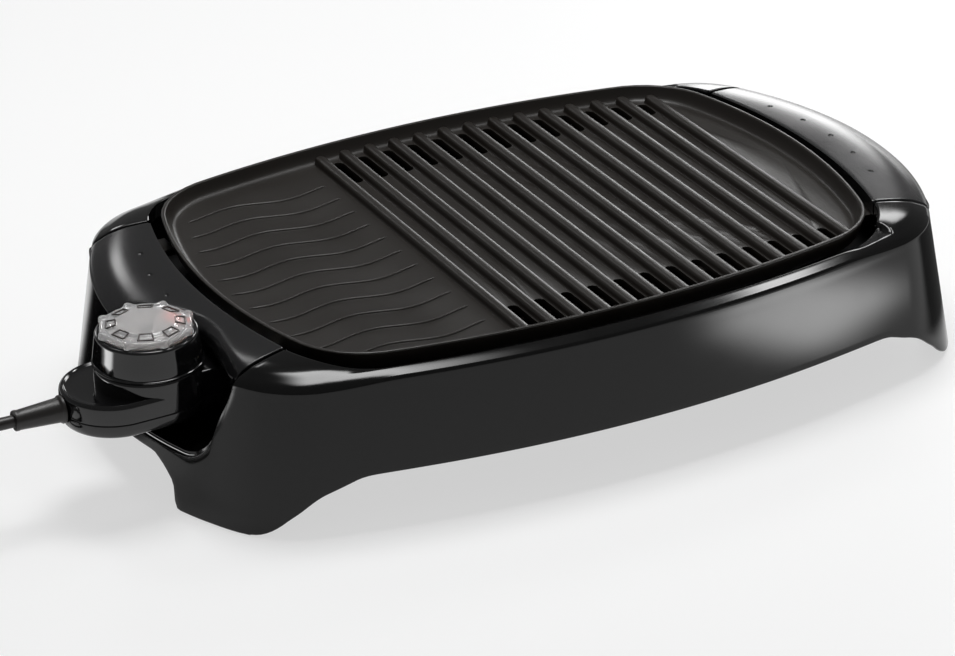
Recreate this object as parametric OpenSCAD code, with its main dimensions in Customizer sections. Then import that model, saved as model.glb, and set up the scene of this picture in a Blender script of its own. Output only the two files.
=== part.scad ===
// Open countertop electric grill: a non-stick grill plate in a moulded base, with a
// plug-in heat control. Millimetres, X along the length, control at -X, front at -Y,
// Z up from the table.

/* [Base] */
// Length of the base where it meets the table
base_len = 624; // [520:2:760]
// Depth of the base where it meets the table
base_dep = 400; // [332:2:480]
// Height of the front and back shoulder above the table
shoulder_h = 106.5; // [104:0.5:128]
// Extra height of the ends, where the handles are flush
crown_rise = 5.5; // [3:0.5:8]
// Thickness of the base wall
base_wall = 3; // [2:0.1:4]
// Lean of the end walls, in degrees
end_draft = 9.5; // [4:0.5:10]
// Lean of the front and back walls, in degrees
side_draft = 8; // [4:0.5:9]
// Height of the arch under the front and the back
arch_h = 40; // [25:1:48]
// Length of a foot along the front and the back
foot_len = 48; // [40:1:80]
// Height of the arch under each end
end_arch_h = 33; // [20:1:40]
// Length of a foot along each end
foot_dep = 115; // [92:1:138]

/* [Plate] */
// Distance from the end of the base to the plate's rim
end_margin = 80; // [76:1:96]
// Distance from the front of the base to the plate's rim
side_margin = 30.5; // [28:0.5:38]
// Length of the flat griddle at the control end
griddle_len = 150; // [110:1:190]
// Height of the rim above the shoulder
rim_rise = 7; // [4:0.5:10]
// Depth of the basin from rim to floor
basin_depth = 10.5; // [8:0.5:14]
// Thickness of the plate's floor
floor_t = 5; // [4:0.5:7]
// Distance between ribs
rib_pitch = 20; // [16:0.5:26]
// Width of a rib at its foot
rib_w = 10; // [7:0.5:11]
// Height of a rib above the floor
rib_h = 5; // [3:0.5:6]
// Width of a drain slot
slot_w = 8.5; // [5:0.5:9]
// Distance from the plate's long edge to a drain slot's inner end
slot_reach = 55.5; // [44:0.5:70]
// Gap between plate and base all round
plate_gap = 7; // [5:0.5:10]
// Gap at the handle seams
seam_gap = 0.8; // [0.5:0.1:1.5]

/* [Control] */
// Distance of the knob's axis from the end of the base
knob_inset = 15; // [8:0.5:18]
// Distance of the knob's axis in front of the middle line
knob_side = 55; // [46:1:60]
// Height of the tower that the dial turns on
tower_h = 21.5; // [17:0.5:26]
// Lower radius of the tower
tower_r = 36.5; // [30:0.5:44]
// Width of the control housing
housing_w = 70; // [58:1:84]
// Distance from the plate's underside down to the terminal pins
pin_drop = 18; // [15:0.5:20]
// Distance between the terminal pins
pin_pitch = 29; // [26:0.5:32]
// Diameter of a terminal pin and of the heating element
element_d = 7; // [6:0.5:8]
// Diameter of the power cord
cord_d = 8.5; // [7:0.5:9]

/* [Tray] */
// Depth of the drip tray
tray_depth = 16; // [12:0.5:24]
// Thickness of the drip tray's sheet
tray_t = 0.8; // [0.6:0.1:2]

/* [Hidden] */
$fn = 48;

clear = 0.3;                       // running clearance between pieces that move
foot_gap = 1;                      // the pads stand this far below the wall
end_lean = tan(end_draft);
side_lean = tan(side_draft);
mean_lean = (end_lean + side_lean) / 2;
crown_h = shoulder_h + crown_rise;
rim_z = shoulder_h + rim_rise;
floor_z = rim_z - basin_depth;
plate_under = floor_z - floor_t;
seat_z = shoulder_h - 7;           // the handles sit on the end walls here
pin_y = pin_pitch / 2;
pin_h = plate_under - pin_drop;
tray_rim_z = pin_h - 22;
plate_len = base_len - 2 * end_margin;
plate_dep = base_dep - 2 * side_margin;
plate_x = plate_len / 2;
plate_y = plate_dep / 2;

// An outline is [half length, half depth, end radius, side radius, corner radius].
base_spec = [base_len / 2, base_dep / 2, 0.6675 * base_dep, 1.434 * base_len, 84];
plate_spec = [plate_x, plate_y, 0.9675 * base_dep, 1.3526 * base_len, 63];
opening_spec = [plate_x + plate_gap + 0.5, plate_y + plate_gap, 1.05 * base_dep, 1.378 * base_len, 70];
tray_spec = grow(plate_spec, -10);
support_z = tray_rim_z - tray_t - 4;
support_t = 4;

control_end = 61;                  // knob axis to the outer end of the housing
relief_len = 34;
knob_reach = base_len / 2 - knob_inset;
body_x = (knob_reach + control_end + relief_len - wall_spec(end_arch_h)[0]) / 2;
knob_x = -knob_reach;
knob_y = -knob_side;

function grow(s, d) = [s[0] + d, s[1] + d, s[2] + d, s[3] + d, s[4] + d];
function wall_spec(z) = [base_spec[0] - z * end_lean, base_spec[1] - z * side_lean,
    base_spec[2] - z * mean_lean, base_spec[3] - z * mean_lean, base_spec[4] - z * mean_lean];

// Centre of the corner arc that touches the end arc and the side arc
function corner_c(s) = let(
    r1 = s[2] - s[4], r2 = s[3] - s[4],
    c1 = [s[0] - s[2], 0], c2 = [0, s[1] - s[3]],
    d = norm(c2 - c1), m = (r1 * r1 - r2 * r2 + d * d) / (2 * d),
    h = sqrt(r1 * r1 - m * m), u = (c2 - c1) / d, v = [-u.y, u.x],
    p = c1 + m * u + h * v, q = c1 + m * u - h * v)
    p.x + p.y > q.x + q.y ? p : q;
function arc(c, r, a0, a1, n) = [for (i = [0:n - 1]) let(a = a0 + (a1 - a0) * i / n)
    c + r * [cos(a), sin(a)]];
end_steps = 5;
corner_steps = 8;
side_steps = 6;
quad_steps = end_steps + corner_steps + side_steps;
function quadrant(s) = let(c = corner_c(s),
    t1 = atan2(c.y, c.x - s[0] + s[2]), t2 = atan2(c.y - s[1] + s[3], c.x))
    concat(arc([s[0] - s[2], 0], s[2], 0, t1, end_steps),
           arc(c, s[4], t1, t2, corner_steps),
           arc([0, s[1] - s[3]], s[3], t2, 90, side_steps), [[0, s[1]]]);
function outline(s) = let(q = quadrant(s), n = quad_steps)
    concat(q, [for (i = [n - 1:-1:0]) [-q[i].x, q[i].y]],
           [for (i = [1:n]) [-q[i].x, -q[i].y]],
           [for (i = [n - 1:-1:1]) [q[i].x, -q[i].y]]);
// Half depth of an outline at a distance x from its middle
function edge_y(s, x) = let(c = corner_c(s), xs = c.x * s[3] / (s[3] - s[4]))
    abs(x) < xs ? s[1] - s[3] + sqrt(s[3] * s[3] - x * x)
                : c.y + sqrt(max(0, s[4] * s[4] - pow(abs(x) - c.x, 2)));
// Half length of an outline at a distance y from its middle
function edge_x(s, y) = let(c = corner_c(s), ys = c.y * s[2] / (s[2] - s[4]))
    abs(y) < ys ? s[0] - s[2] + sqrt(s[2] * s[2] - y * y)
                : c.x + sqrt(max(0, s[4] * s[4] - pow(abs(y) - c.y, 2)));
function level(pts, z) = [for (p = pts) [p.x, p.y, z]];
function smooth(v) = let(t = max(0, min(1, v))) t * t * (3 - 2 * t);
function mix(a, b, t) = a + (b - a) * t;

// A solid whose skin runs through equal rings; a tube closes back on its first ring.
module skin(rings, tube = false) {
    n = len(rings[0]);
    k = len(rings);
    pts = [for (r = rings) each r];
    sides = [for (i = [0:(tube ? k - 1 : k - 2)], j = [0:n - 1])
        let(a = i * n + j, b = i * n + (j + 1) % n,
            c = ((i + 1) % k) * n + (j + 1) % n, d = ((i + 1) % k) * n + j)
        each [[a, c, b], [a, d, c]]];
    caps = tube ? [] : [[for (j = [0:n - 1]) j], [for (j = [n - 1:-1:0]) (k - 1) * n + j]];
    polyhedron(points = pts, faces = concat(sides, caps), convexity = 10);
}

function unit(v) = v / norm(v);
// A round tube along a route that never runs straight up or down
module sweep(route, r, sides) {
    n = len(route);
    skin([for (i = [0:n - 1]) let(
        t = unit(route[min(i + 1, n - 1)] - route[max(i - 1, 0)]),
        u = unit(cross(t, [0, 0, 1])), v = cross(u, t))
        [for (k = [0:sides - 1]) let(a = 360 * k / sides)
            route[i] + r * (cos(a) * u + sin(a) * v)]]);
}

module at_base() translate([body_x, 0, 0]) children();
module at_knob() translate([body_x + knob_x, knob_y, 0]) children();
module screw(head_r, head_h, shank_r, shank_l) {
    cylinder(r = head_r, h = head_h);
    translate([0, 0, head_h - 0.01]) cylinder(r = shank_r, h = shank_l);
}

// ---- base ----
side_crown = [[0, -3.5], [0.1, -1.7], [0.3, -0.3], [0.5, 0], [1, -1]];
end_crown = [[0, -12.5], [0.06, -8.8], [0.15, -6.2], [0.3, -3.8], [0.5, -1.8], [0.75, -0.4], [1, 0]];
crown_steps = [0, 0.06, 0.15, 0.3, 0.5, 0.75, 1];
function endness(p) = smooth((abs(p.x) - plate_x + 82) / 75);
function crown_z(t, e) = mix(shoulder_h + lookup(t, side_crown), crown_h + lookup(t, end_crown), e);
wall_low = outline(wall_spec(shoulder_h - 7));
wall_high = outline(wall_spec(shoulder_h - 3.5));
hole_edge = outline(opening_spec);
ends = [for (p = wall_low) endness(p)];
function crown_ring(t, inset = 0, drop = 0) = let(
    lo = outline(grow(wall_spec(shoulder_h - 7), -inset)),
    hi = outline(grow(wall_spec(shoulder_h - 3.5), -inset)),
    op = outline(grow(opening_spec, inset)))
    [for (j = [0:len(ends) - 1]) let(w = mix(hi[j], lo[j], ends[j]), p = mix(w, op[j], t))
        [p.x, p.y, crown_z(t, ends[j]) - drop]];

module crown_solid() skin(concat(
    [level(hole_edge, seat_z - 0.5), level(outline(wall_spec(seat_z - 0.5)), seat_z - 0.5)],
    [for (t = crown_steps) crown_ring(t)]), tube = true);

module base_skin() {
    lip = 11;
    skin(concat([level(outline(wall_spec(foot_gap)), foot_gap), level(outline(wall_spec(50)), 50)],
        [for (t = crown_steps) crown_ring(t)],
        [crown_ring(1, 0, lip), crown_ring(1, base_wall, lip)],
        [for (t = [1, 0.6, 0.2, 0]) crown_ring(t, base_wall, base_wall)],
        [level(outline(grow(wall_spec(50), -base_wall)), 50),
         level(outline(grow(wall_spec(foot_gap), -base_wall)), foot_gap)]), tube = true);
}

// Plan of the end zone that a handle fills, to the left for side -1
seam_in = plate_y - 56.5;
seam_out = seam_in + 6;
module end_zone(side, gap) mirror([side > 0 ? 1 : 0, 0]) polygon([
    [-base_len / 2 - 10, seam_out - gap], [-base_len / 2 - 10, gap - seam_out],
    [-plate_x - 33, gap - seam_out], [-plate_x - 13, gap - seam_in - 4],
    [6 - plate_x, gap - seam_in], [32 - plate_x, gap - seam_in],
    [32 - plate_x, seam_in - gap], [6 - plate_x, seam_in - gap],
    [-plate_x - 13, seam_in + 4 - gap], [-plate_x - 33, seam_out - gap]]);

// Openings under the walls
module arch_profile(half, high, r) {
    turn = 50;
    polygon(concat([[-half, -1], [half, -1], [half, 0]],
        [for (i = [0:6]) let(a = turn - turn * i / 6) [half - (high - r + r * cos(turn)) / tan(turn) - r * sin(turn)
            + r * sin(a), high - r + r * cos(a)]],
        [for (i = [0:6]) let(a = turn * i / 6) [-half + (high - r + r * cos(turn)) / tan(turn) + r * sin(turn)
            - r * sin(a), high - r + r * cos(a)]], [[-half, 0]]));
}
module side_arches() rotate([90, 0, 0]) linear_extrude(base_dep + 20, center = true)
    arch_profile(base_len / 2 - foot_len, arch_h, 55);
module end_arches() rotate([90, 0, 90]) linear_extrude(base_len + 20, center = true) {
    r = min(27, end_arch_h - 2);
    half = base_dep / 2 - foot_dep;
    polygon(concat([[-half - 3, -1], [half + 3, -1]],
        [for (i = [0:6]) [half - r + r * cos(90 * i / 6), end_arch_h - r + r * sin(90 * i / 6)]],
        [for (i = [0:6]) [-half + r - r * sin(90 * i / 6), end_arch_h - r + r * cos(90 * i / 6)]]));
}
notch_half = max(tower_r, housing_w / 2) + 18.5;
notch_floor = pin_h - 40;
notch_r = 24;
lip_flare = 9;                     // the notch widens to the front towards the seam
lining_t = 2.2;
notch_back = knob_reach - 50;      // depth plane of the pocket behind the control
module notch_profile(g) {
    translate([-notch_half + notch_r, notch_floor - g]) square([2 * (notch_half - notch_r), notch_r + g + 1]);
    for (s = [-1, 1]) translate([s * (notch_half - notch_r), notch_floor + notch_r]) circle(notch_r + g);
    polygon([[-notch_half - g, notch_floor + notch_r], [notch_half + g, notch_floor + notch_r],
        [notch_half + g, crown_h + 20], [-notch_half - lip_flare - g, crown_h + 20],
        [-notch_half - lip_flare - g, seat_z], [-notch_half - 0.75 * lip_flare - g, seat_z - 11.5],
        [-notch_half - lip_flare / 3 - g, notch_floor + notch_r + 12]]);
}
module notch_run(g, back) translate([-base_len / 2 - 10, knob_y, 0]) rotate([90, 0, 90])
    linear_extrude(base_len / 2 + 10 - back) notch_profile(g);
module control_notch() notch_run(0, notch_back);
// Pocket behind the notch, with an open slot for the control's neck
module notch_lining() intersection() {
    notch_run(lining_t, notch_back - lining_t);
    skin([level(outline(grow(wall_spec(20), -base_wall / 2)), 20),
          level(outline(grow(wall_spec(seat_z - 7.5), -base_wall / 2)), seat_z - 7.5)]);
}
module neck_slot() translate([-notch_back - 4, knob_y - neck_w / 2 - 4, low_z - 4])
    cube([lining_t + 8, neck_w + 8, crown_h]);

corner_boss = [plate_x + 6, seam_in + 15];
boss_spots = concat([for (x = [-1, 1], y = [-1, 1]) [x * corner_boss.x, y * corner_boss.y]],
    [for (y = [-1, 1]) [0, y * (plate_y + 11.5)]]);
module bosses() for (p = boss_spots) {
    r = abs(p.x) > 1 ? 7 : 6;
    top = abs(p.x) > 1 ? crown_h - 6 : shoulder_h - 16;
    translate([p.x, p.y, support_z + support_t]) cylinder(r = r, h = top - support_z - support_t);
}
module boss_ribs() intersection() {
    for (sx = [-1, 1], sy = [-1, 1])
        translate([sx * corner_boss.x, sy * corner_boss.y, support_z + support_t]) rotate([0, 0, sy * (sx > 0 ? 40 : 140)])
            translate([3, -1.25, 0]) cube([40, 2.5, 44]);
    linear_extrude(crown_h) polygon(outline(grow(wall_spec(shoulder_h - 7), -2)));
}
module seam_webs() intersection() {
    crown_solid();
    for (side = [-1, 1]) translate([0, 0, seat_z - 5]) linear_extrude(40) difference() {
        end_zone(side, -3);
        end_zone(side, 0);
    }
}
module base_shell() color("#141416") at_base() difference() {
    union() {
        difference() {
            base_skin();
            for (side = [-1, 1]) {
                translate([0, 0, seat_z]) linear_extrude(40) end_zone(side, 0);
                translate([0, 0, seat_z - 20]) linear_extrude(40) intersection() {
                    end_zone(side, 0);
                    polygon(outline(grow(wall_spec(seat_z), -base_wall - 3)));
                }
            }
        }
        seam_webs();
        bosses();
        boss_ribs();
        notch_lining();
    }
    side_arches();
    end_arches();
    control_notch();
    neck_slot();
    for (p = boss_spots) translate([p.x, p.y, support_z - 1]) cylinder(r = 1.8, h = 18);
}

module tray_support() color("#1c1c1e") at_base() translate([0, 0, support_z]) difference() {
    union() {
        linear_extrude(support_t) difference() {
            polygon(outline(grow(wall_spec(support_z + support_t), -base_wall - 0.8)));
            polygon(outline(grow(tray_spec, 1)));
        }
        translate([0, 0, -8]) linear_extrude(8.01) difference() {
            polygon(outline(grow(tray_spec, 3.5)));
            polygon(outline(grow(tray_spec, 1)));
        }
    }
    for (p = boss_spots) translate([p.x, p.y, -1]) cylinder(r = 2.3, h = support_t + 2);
    translate([0, 0, -support_z]) notch_run(lining_t + 0.8, notch_back - lining_t - 0.8);
}
module support_screws() color("silver") at_base() for (p = boss_spots)
    translate([p.x, p.y, support_z - 2.4]) screw(4, 2.4, 1.7, 16);

foot_in = grow(wall_spec(14), -base_wall - 0.4);
module foot_plan() intersection() {
    difference() {
        polygon(outline(foot_in));
        polygon(outline(grow(foot_in, -9)));
    }
    translate([base_len / 2 - foot_len + 3, base_dep / 2 - foot_dep + 7]) square([foot_len + 9, foot_dep]);
}
module foot_pads() color("#0c0c0c") at_base() for (sx = [0, 1], sy = [0, 1])
    mirror([sx, 0, 0]) mirror([0, sy, 0]) linear_extrude(13) foot_plan();

// ---- plate ----
rib_first = plate_x - 44;
rib_count = 1 + floor((plate_len - 44 - griddle_len) / rib_pitch);
rib_x = [for (i = [0:rib_count - 1]) rib_first - i * rib_pitch];
slot_x = [for (i = [0:rib_count - 2]) rib_first - (i + 0.5) * rib_pitch];
rib_bound = grow(plate_spec, -13);
ear_y = seam_in - 17;
ear_t = 5;
ear_x = plate_x + 8;

module slot_plan(w, l) {
    square([w, l - w], center = true);
    for (s = [-1, 1]) translate([0, s * (l - w) / 2]) circle(w / 2);
}
module rib(l) intersection() {
    rotate([90, 0, 0]) linear_extrude(l, center = true) polygon([
        [-rib_w / 2, -0.5], [rib_w / 2, -0.5], [rib_w / 2 - 1.2, rib_h - 1.2],
        [rib_w / 2 - 2.4, rib_h], [2.4 - rib_w / 2, rib_h], [1.2 - rib_w / 2, rib_h - 1.2]]);
    translate([0, 0, -1]) linear_extrude(rib_h + 2) slot_plan(rib_w, l);
}
wave_pitch = 24.5;
wave_rows = floor((plate_y - 28) / wave_pitch);
wave_end = rib_first - (rib_count - 1) * rib_pitch - 14;
// A low ridge that waves across the flat griddle end
module wave_ridge(x0, x1, y) {
    n = 16;
    w = 1.1;
    mid = [for (i = [0:n]) let(x = mix(x0, x1, i / n)) [x, y - 4 * cos((x + plate_x - 32) * 360 / 80)]];
    linear_extrude(2) polygon(concat([for (p = mid) [p.x, p.y - w]],
        [for (i = [n:-1:0]) [mid[i].x, mid[i].y + w]]));
}
// The element's loop, with its legs at the control end
element_z = plate_under - 6.5 - element_d / 2;
loop_x = plate_x - 64;
loop_y = plate_y - 61.5;
loop_bend = 20;
leg_bend = 12;
leg_end = loop_x + leg_bend + 8;
function turn(x, y, r, from, to, n = 5) = [for (i = [0:n]) let(a = mix(from, to, i / n))
    [x + r * cos(a), y + r * sin(a), element_z]];
function leg(y) = [[-leg_end, y, element_z], [-leg_end - 20, y, pin_h], [-leg_end - 34, y, pin_h]];
function reversed(v) = [for (i = [len(v) - 1:-1:0]) v[i]];
front_pin = knob_y - pin_y;
back_pin = knob_y + pin_y;
corner_x = loop_x - loop_bend;
corner_y = loop_y - loop_bend;
element_route = concat(reversed(leg(front_pin)),
    turn(-loop_x - leg_bend, front_pin - leg_bend, leg_bend, 90, 0),
    turn(-corner_x, -corner_y, loop_bend, 180, 270), turn(corner_x, -corner_y, loop_bend, 270, 360),
    turn(corner_x, corner_y, loop_bend, 0, 90), turn(-corner_x, corner_y, loop_bend, 90, 180),
    turn(-loop_x - leg_bend, back_pin + leg_bend, leg_bend, 0, -90), leg(back_pin));
module element_pads() {
    for (p = clamp_spots) translate([p.x, p.y, 0]) rotate([0, 0, p.z])
        translate([-7, -16, element_z + element_d / 2 + 0.05]) cube([14, 20.5, 8]);
}
clamp_x = loop_x - 88;
clamp_spots = [[-clamp_x, loop_y, 0], [clamp_x, loop_y, 0], [-clamp_x, -loop_y, 180],
    [clamp_x, -loop_y, 180], [loop_x, 0, -90]];
module grill_plate() color("#2b2a29") at_base() difference() {
    union() {
        skin([level(outline(grow(plate_spec, -7)), plate_under),
              level(outline(grow(plate_spec, -3)), plate_under + 3),
              level(outline(plate_spec), rim_z - 0.8),
              level(outline(grow(plate_spec, -0.6)), rim_z),
              level(outline(grow(plate_spec, -2.2)), rim_z),
              level(outline(grow(plate_spec, -2.9)), rim_z - 0.8),
              level(outline(grow(plate_spec, -7)), floor_z + 2.2),
              level(outline(grow(plate_spec, -9.5)), floor_z + 0.4),
              level(outline(grow(plate_spec, -12)), floor_z),
              level(outline(grow(plate_spec, -14)), floor_z),
              level(outline(grow(plate_spec, -14)), plate_under)], tube = true);
        translate([0, 0, plate_under]) linear_extrude(floor_t) difference() {
            polygon(outline(grow(plate_spec, -13.5)));
            for (x = slot_x, s = [-1, 1])
                let(near = plate_y - slot_reach, run = edge_y(rib_bound, x) - 1.5 - near)
                    translate([x, s * (near + run / 2)]) slot_plan(slot_w, run);
        }
        for (x = rib_x) translate([x, 0, floor_z]) rib(2 * edge_y(rib_bound, x));
        for (i = [-wave_rows:wave_rows]) let(y = i * wave_pitch - 6)
            translate([0, 0, floor_z - 0.5]) wave_ridge(-edge_x(grow(plate_spec, -16), y), wave_end, y);
        element_pads();
        for (sx = [-1, 1], sy = [-1, 1]) translate([sx * ear_x, sy * ear_y, seat_z - ear_t])
            translate([sx < 0 ? -16 : -24, -10, 0]) cube([40, 20, ear_t]);
    }
    for (sx = [-1, 1], sy = [-1, 1]) translate([sx * (ear_x + 6), sy * ear_y, seat_z - ear_t - 1])
        cylinder(r = 2.2, h = ear_t + 2);
    for (p = clamp_spots) translate([p.x, p.y, plate_under - 7]) rotate([0, 0, p.z])
        translate([0, -11, 0]) cylinder(r = 1.5, h = 9);
}

dot_r = 244;
module handle_block(side) {
    difference() {
        intersection() {
            crown_solid();
            translate([0, 0, seat_z]) linear_extrude(30) end_zone(side, seam_gap);
        }
        for (i = [-2:2]) let(a = i * 34.2 / dot_r * 180 / PI)
            translate([side * (260 - dot_r + dot_r * cos(a)), dot_r * sin(a),
                       crown_z(0.64, 1) + 1.5]) sphere(2.4);
        for (sy = [-1, 1]) translate([side * (ear_x + 6), sy * ear_y, seat_z - 1]) cylinder(r = 1.6, h = 8);
    }
}
handle_notch_r = tower_r + 4.5;
module left_handle() color("#2a2a2c") at_base() difference() {
    handle_block(-1);
    translate([knob_x, knob_y, seat_z - 5]) linear_extrude(40) {
        circle(handle_notch_r);
        translate([-60, -notch_half - 15]) square([93, 2 * notch_half + 20]);
    }
}
module right_handle() color("#2a2a2c") at_base() handle_block(1);
module handle_screws() color("silver") at_base() for (sx = [-1, 1], sy = [-1, 1])
    translate([sx * (ear_x + 6), sy * ear_y, seat_z - ear_t - 2.4]) screw(3.8, 2.4, 1.55, ear_t + 6);

module heating_element() color("#8a8a88") at_base() sweep(element_route, element_d / 2, 12);
module element_clamps() color("silver") at_base() for (p = clamp_spots)
    translate([p.x, p.y, element_z]) rotate([0, 0, p.z]) difference() {
        union() {
            rotate([0, 90, 0]) cylinder(r = element_d / 2 + 1.3, h = 10, center = true);
            translate([-5, -16, element_d / 2 - 1.1]) cube([10, 13, 1.1]);
        }
        rotate([0, 90, 0]) cylinder(r = element_d / 2 + 0.05, h = 12, center = true);
        translate([-6, -element_d / 2 - 0.05, 0]) cube([12, element_d + 0.1, 10]);
        translate([0, -11, 0]) cylinder(r = 1.9, h = 9);
        translate([-6, -20, element_d / 2 + 0.02]) cube([12, 40, 10]);
    }
module clamp_screws() color("silver") at_base() for (p = clamp_spots)
    translate([p.x, p.y, element_z + element_d / 2 - 3.1]) rotate([0, 0, p.z])
        translate([0, -11, 0]) screw(3.2, 1.95, 1.4, 7);

// ---- terminals under the plate ----
pin_out = -plate_x - 30;
guard_x = -plate_x - 4;
module terminal_pins() color("silver") at_base() for (s = [-1, 1])
    translate([pin_out, knob_y + s * pin_y, pin_h]) {
        rotate([0, 90, 0]) cylinder(r = element_d / 2 - 0.3, h = -pin_out - leg_end - 34);
        sphere(element_d / 2 - 0.3);
    }
module terminal_bushes() color("#e8e2d2") at_base() for (s = [-1, 1])
    translate([guard_x + 3, knob_y + s * pin_y, pin_h]) rotate([0, 90, 0]) difference() {
        cylinder(r = element_d / 2 + 2.4, h = 10);
        translate([0, 0, -1]) cylinder(r = element_d / 2 - 0.25, h = 14);
    }
module terminal_guard() color("silver") at_base() translate([guard_x, knob_y, 0]) difference() {
    guard_y = pin_y + 14.5;
    translate([0, -guard_y, pin_h - 14]) cube([40, 2 * guard_y, plate_under - pin_h + 14]);
    translate([-1, 1.2 - guard_y, pin_h - 12.8]) cube([17.5, 2 * guard_y - 2.4, 60]);
    translate([17.7, 1.2 - guard_y, pin_h - 12.8]) cube([30, 2 * guard_y - 2.4, 60]);
    for (s = [-1, 1]) translate([5, s * pin_y, pin_h]) rotate([0, 90, 0])
        cylinder(r = element_d / 2 + 2.5, h = 30);
    translate([5, 0, pin_h]) rotate([0, 90, 0]) cylinder(r = 3.6, h = 60);
}

// ---- drip tray ----
module drip_tray() color("#3a3a3c") at_base() {
    translate([0, 0, tray_rim_z - tray_depth]) linear_extrude(tray_t) polygon(outline(grow(tray_spec, -1)));
    translate([0, 0, tray_rim_z - tray_depth]) linear_extrude(tray_depth) difference() {
        polygon(outline(grow(tray_spec, -1)));
        polygon(outline(grow(tray_spec, -1 - tray_t)));
    }
    translate([0, 0, tray_rim_z - tray_t]) linear_extrude(tray_t) difference() {
        polygon(outline(grow(tray_spec, 8)));
        polygon(outline(grow(tray_spec, -1 - tray_t)));
    }
}

// ---- control ----
low_z = pin_h - 18;
part_z = pin_h - 7;
tab_z = pin_h + 7;
collar_z = pin_h + 17;
cord_h = pin_h - 3.5;
top_z = collar_z + tower_h;
top_r = tower_r - 3.5;
neck_w = pin_pitch + 17;
neck_end = knob_reach + guard_x - 5;
housing_r = housing_w / 2 + 1.5;
housing_x = housing_r - control_end;
module housing_plan(inset = 0) {
    translate([housing_x, 0]) circle(housing_r - inset);
    translate([housing_x, -housing_w / 2 + inset]) square([10 - housing_x - inset, housing_w - 2 * inset]);
}
module neck_cut() {
    for (s = [-1, 1]) translate([neck_end - 24, s * pin_y, pin_h]) rotate([0, 90, 0])
        cylinder(r = element_d / 2 + 1.6, h = 40);
    translate([0, 0, pin_h]) rotate([0, 90, 0]) cylinder(r = 2.9, h = 60);
}
deck_z = collar_z - 2.8;
case_screws = [for (s = [-1, 1], p = [[-40, 20], [2, housing_w / 2 - 8.6]]) [p.x, s * p.y]];
module relief_hole() translate([-control_end - 5, 0, cord_h]) rotate([0, 90, 0])
    cylinder(r = 6.2, h = 12);
module control_upper_housing() color("#131315") at_knob() difference() {
    union() {
        difference() {
            union() {
                hull() {
                    translate([0, 0, part_z]) linear_extrude(9) housing_plan();
                    translate([0, 0, tab_z - 0.1]) linear_extrude(0.1) housing_plan(3);
                }
                translate([0, 0, part_z]) cylinder(r = tower_r - 0.5, h = collar_z - part_z);
                translate([5, -neck_w / 2, part_z]) cube([neck_end - 5, neck_w, 18]);
            }
            translate([0, 0, part_z - 1]) linear_extrude(12.5) housing_plan(2.4);
            translate([0, 0, part_z - 1]) cylinder(r = tower_r - 3, h = 60);
            translate([0, 2.2 - neck_w / 2, part_z - 1]) cube([neck_end - 2.4, neck_w - 4.4, 16.6]);
        }
        translate([0, 0, deck_z]) cylinder(r = tower_r - 1, h = 2.3);
        for (p = case_screws) translate([p.x, p.y, part_z - 3.8]) cylinder(r = 3.6, h = 16.5);
        for (s = [-1, 1]) translate([0, s * (housing_w / 2 - 8.6) - 2, part_z + 2]) cube([4, 4, deck_z - part_z]);
    }
    neck_cut();
    relief_hole();
    translate([0, 0, deck_z - 1]) cylinder(r = 3.4, h = 5);
    for (p = case_screws) translate([p.x, p.y, part_z - 4]) cylinder(r = 1.5, h = 9);
}
module control_lower_housing() color("#131315") at_knob() difference() {
    union() {
        difference() {
            union() {
                hull() {
                    translate([0, 0, part_z - 6]) linear_extrude(6 - 0.3) housing_plan();
                    translate([0, 0, low_z]) linear_extrude(0.1) housing_plan(3.5);
                }
                translate([0, 0, part_z - 6]) cylinder(r = tower_r - 0.5, h = 5.7);
                translate([5, -neck_w / 2, part_z - 6]) cube([neck_end - 5, neck_w, 5.7]);
            }
            translate([0, 0, low_z + 2.4]) linear_extrude(20) housing_plan(4.5);
            translate([0, 0, part_z - 3.6]) cylinder(r = tower_r - 3, h = 20);
            translate([0, 2.2 - neck_w / 2, part_z - 3.6]) cube([neck_end - 2.4, neck_w - 4.4, 10]);
        }
        for (p = case_screws) translate([p.x, p.y, low_z + 1]) cylinder(r = 3.6, h = part_z - low_z - 5);
    }
    relief_hole();
    for (p = case_screws) translate([p.x, p.y, low_z - 1]) {
        cylinder(r = 1.9, h = 10);
        cylinder(r = 3.2, h = 3.2);
    }
}
module control_screws() color("#555") at_knob() for (p = case_screws)
    translate([p.x, p.y, low_z + 0.5]) screw(2.9, 1.6, 1.4, 10);

module dial_tower() color("#101012") at_knob() rotate_extrude($fn = 96) polygon([
    [tower_r, collar_z], [tower_r + 0.4, collar_z + 0.6], [tower_r + 0.4, collar_z + 1.6],
    [tower_r - 0.2, collar_z + 2.2], [top_r + 0.8, top_z - 1], [top_r, top_z], [top_r - 4, top_z],
    [top_r - 4, top_z - 2.4], [top_r - 1.8, top_z - 2.6], [tower_r - 2.8, collar_z]]);
lamp_x = top_r - 11;
module light_ring() color("#d8d8d6") at_knob() translate([0, 0, top_z - 6]) difference() {
    cylinder(r = top_r - 1.8, h = 1.6);
    translate([0, 0, -1]) cylinder(r = 6, h = 4);
    translate([lamp_x, -4, -1]) cylinder(r = 4, h = 4);
}
module indicator_lamp() color("#ff6a2a") at_knob() translate([lamp_x, -4, deck_z + 2.3]) {
    cylinder(r = 3, h = top_z - 9 - deck_z);
    translate([0, 0, top_z - 9 - deck_z]) sphere(3);
}
module thermostat_frame() color("silver") at_knob() {
    translate([-16, -9, low_z + 2.4]) cube([21, 18, 1.5]);
    translate([-16, -9, low_z + 2.4]) cube([1.5, 18, part_z - low_z + 15]);
    translate([-16, -9, part_z + 17]) difference() {
        cube([28, 18, 1.5]);
        translate([16, 9, -1]) cylinder(r = 3, h = 4);
    }
}
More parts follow.
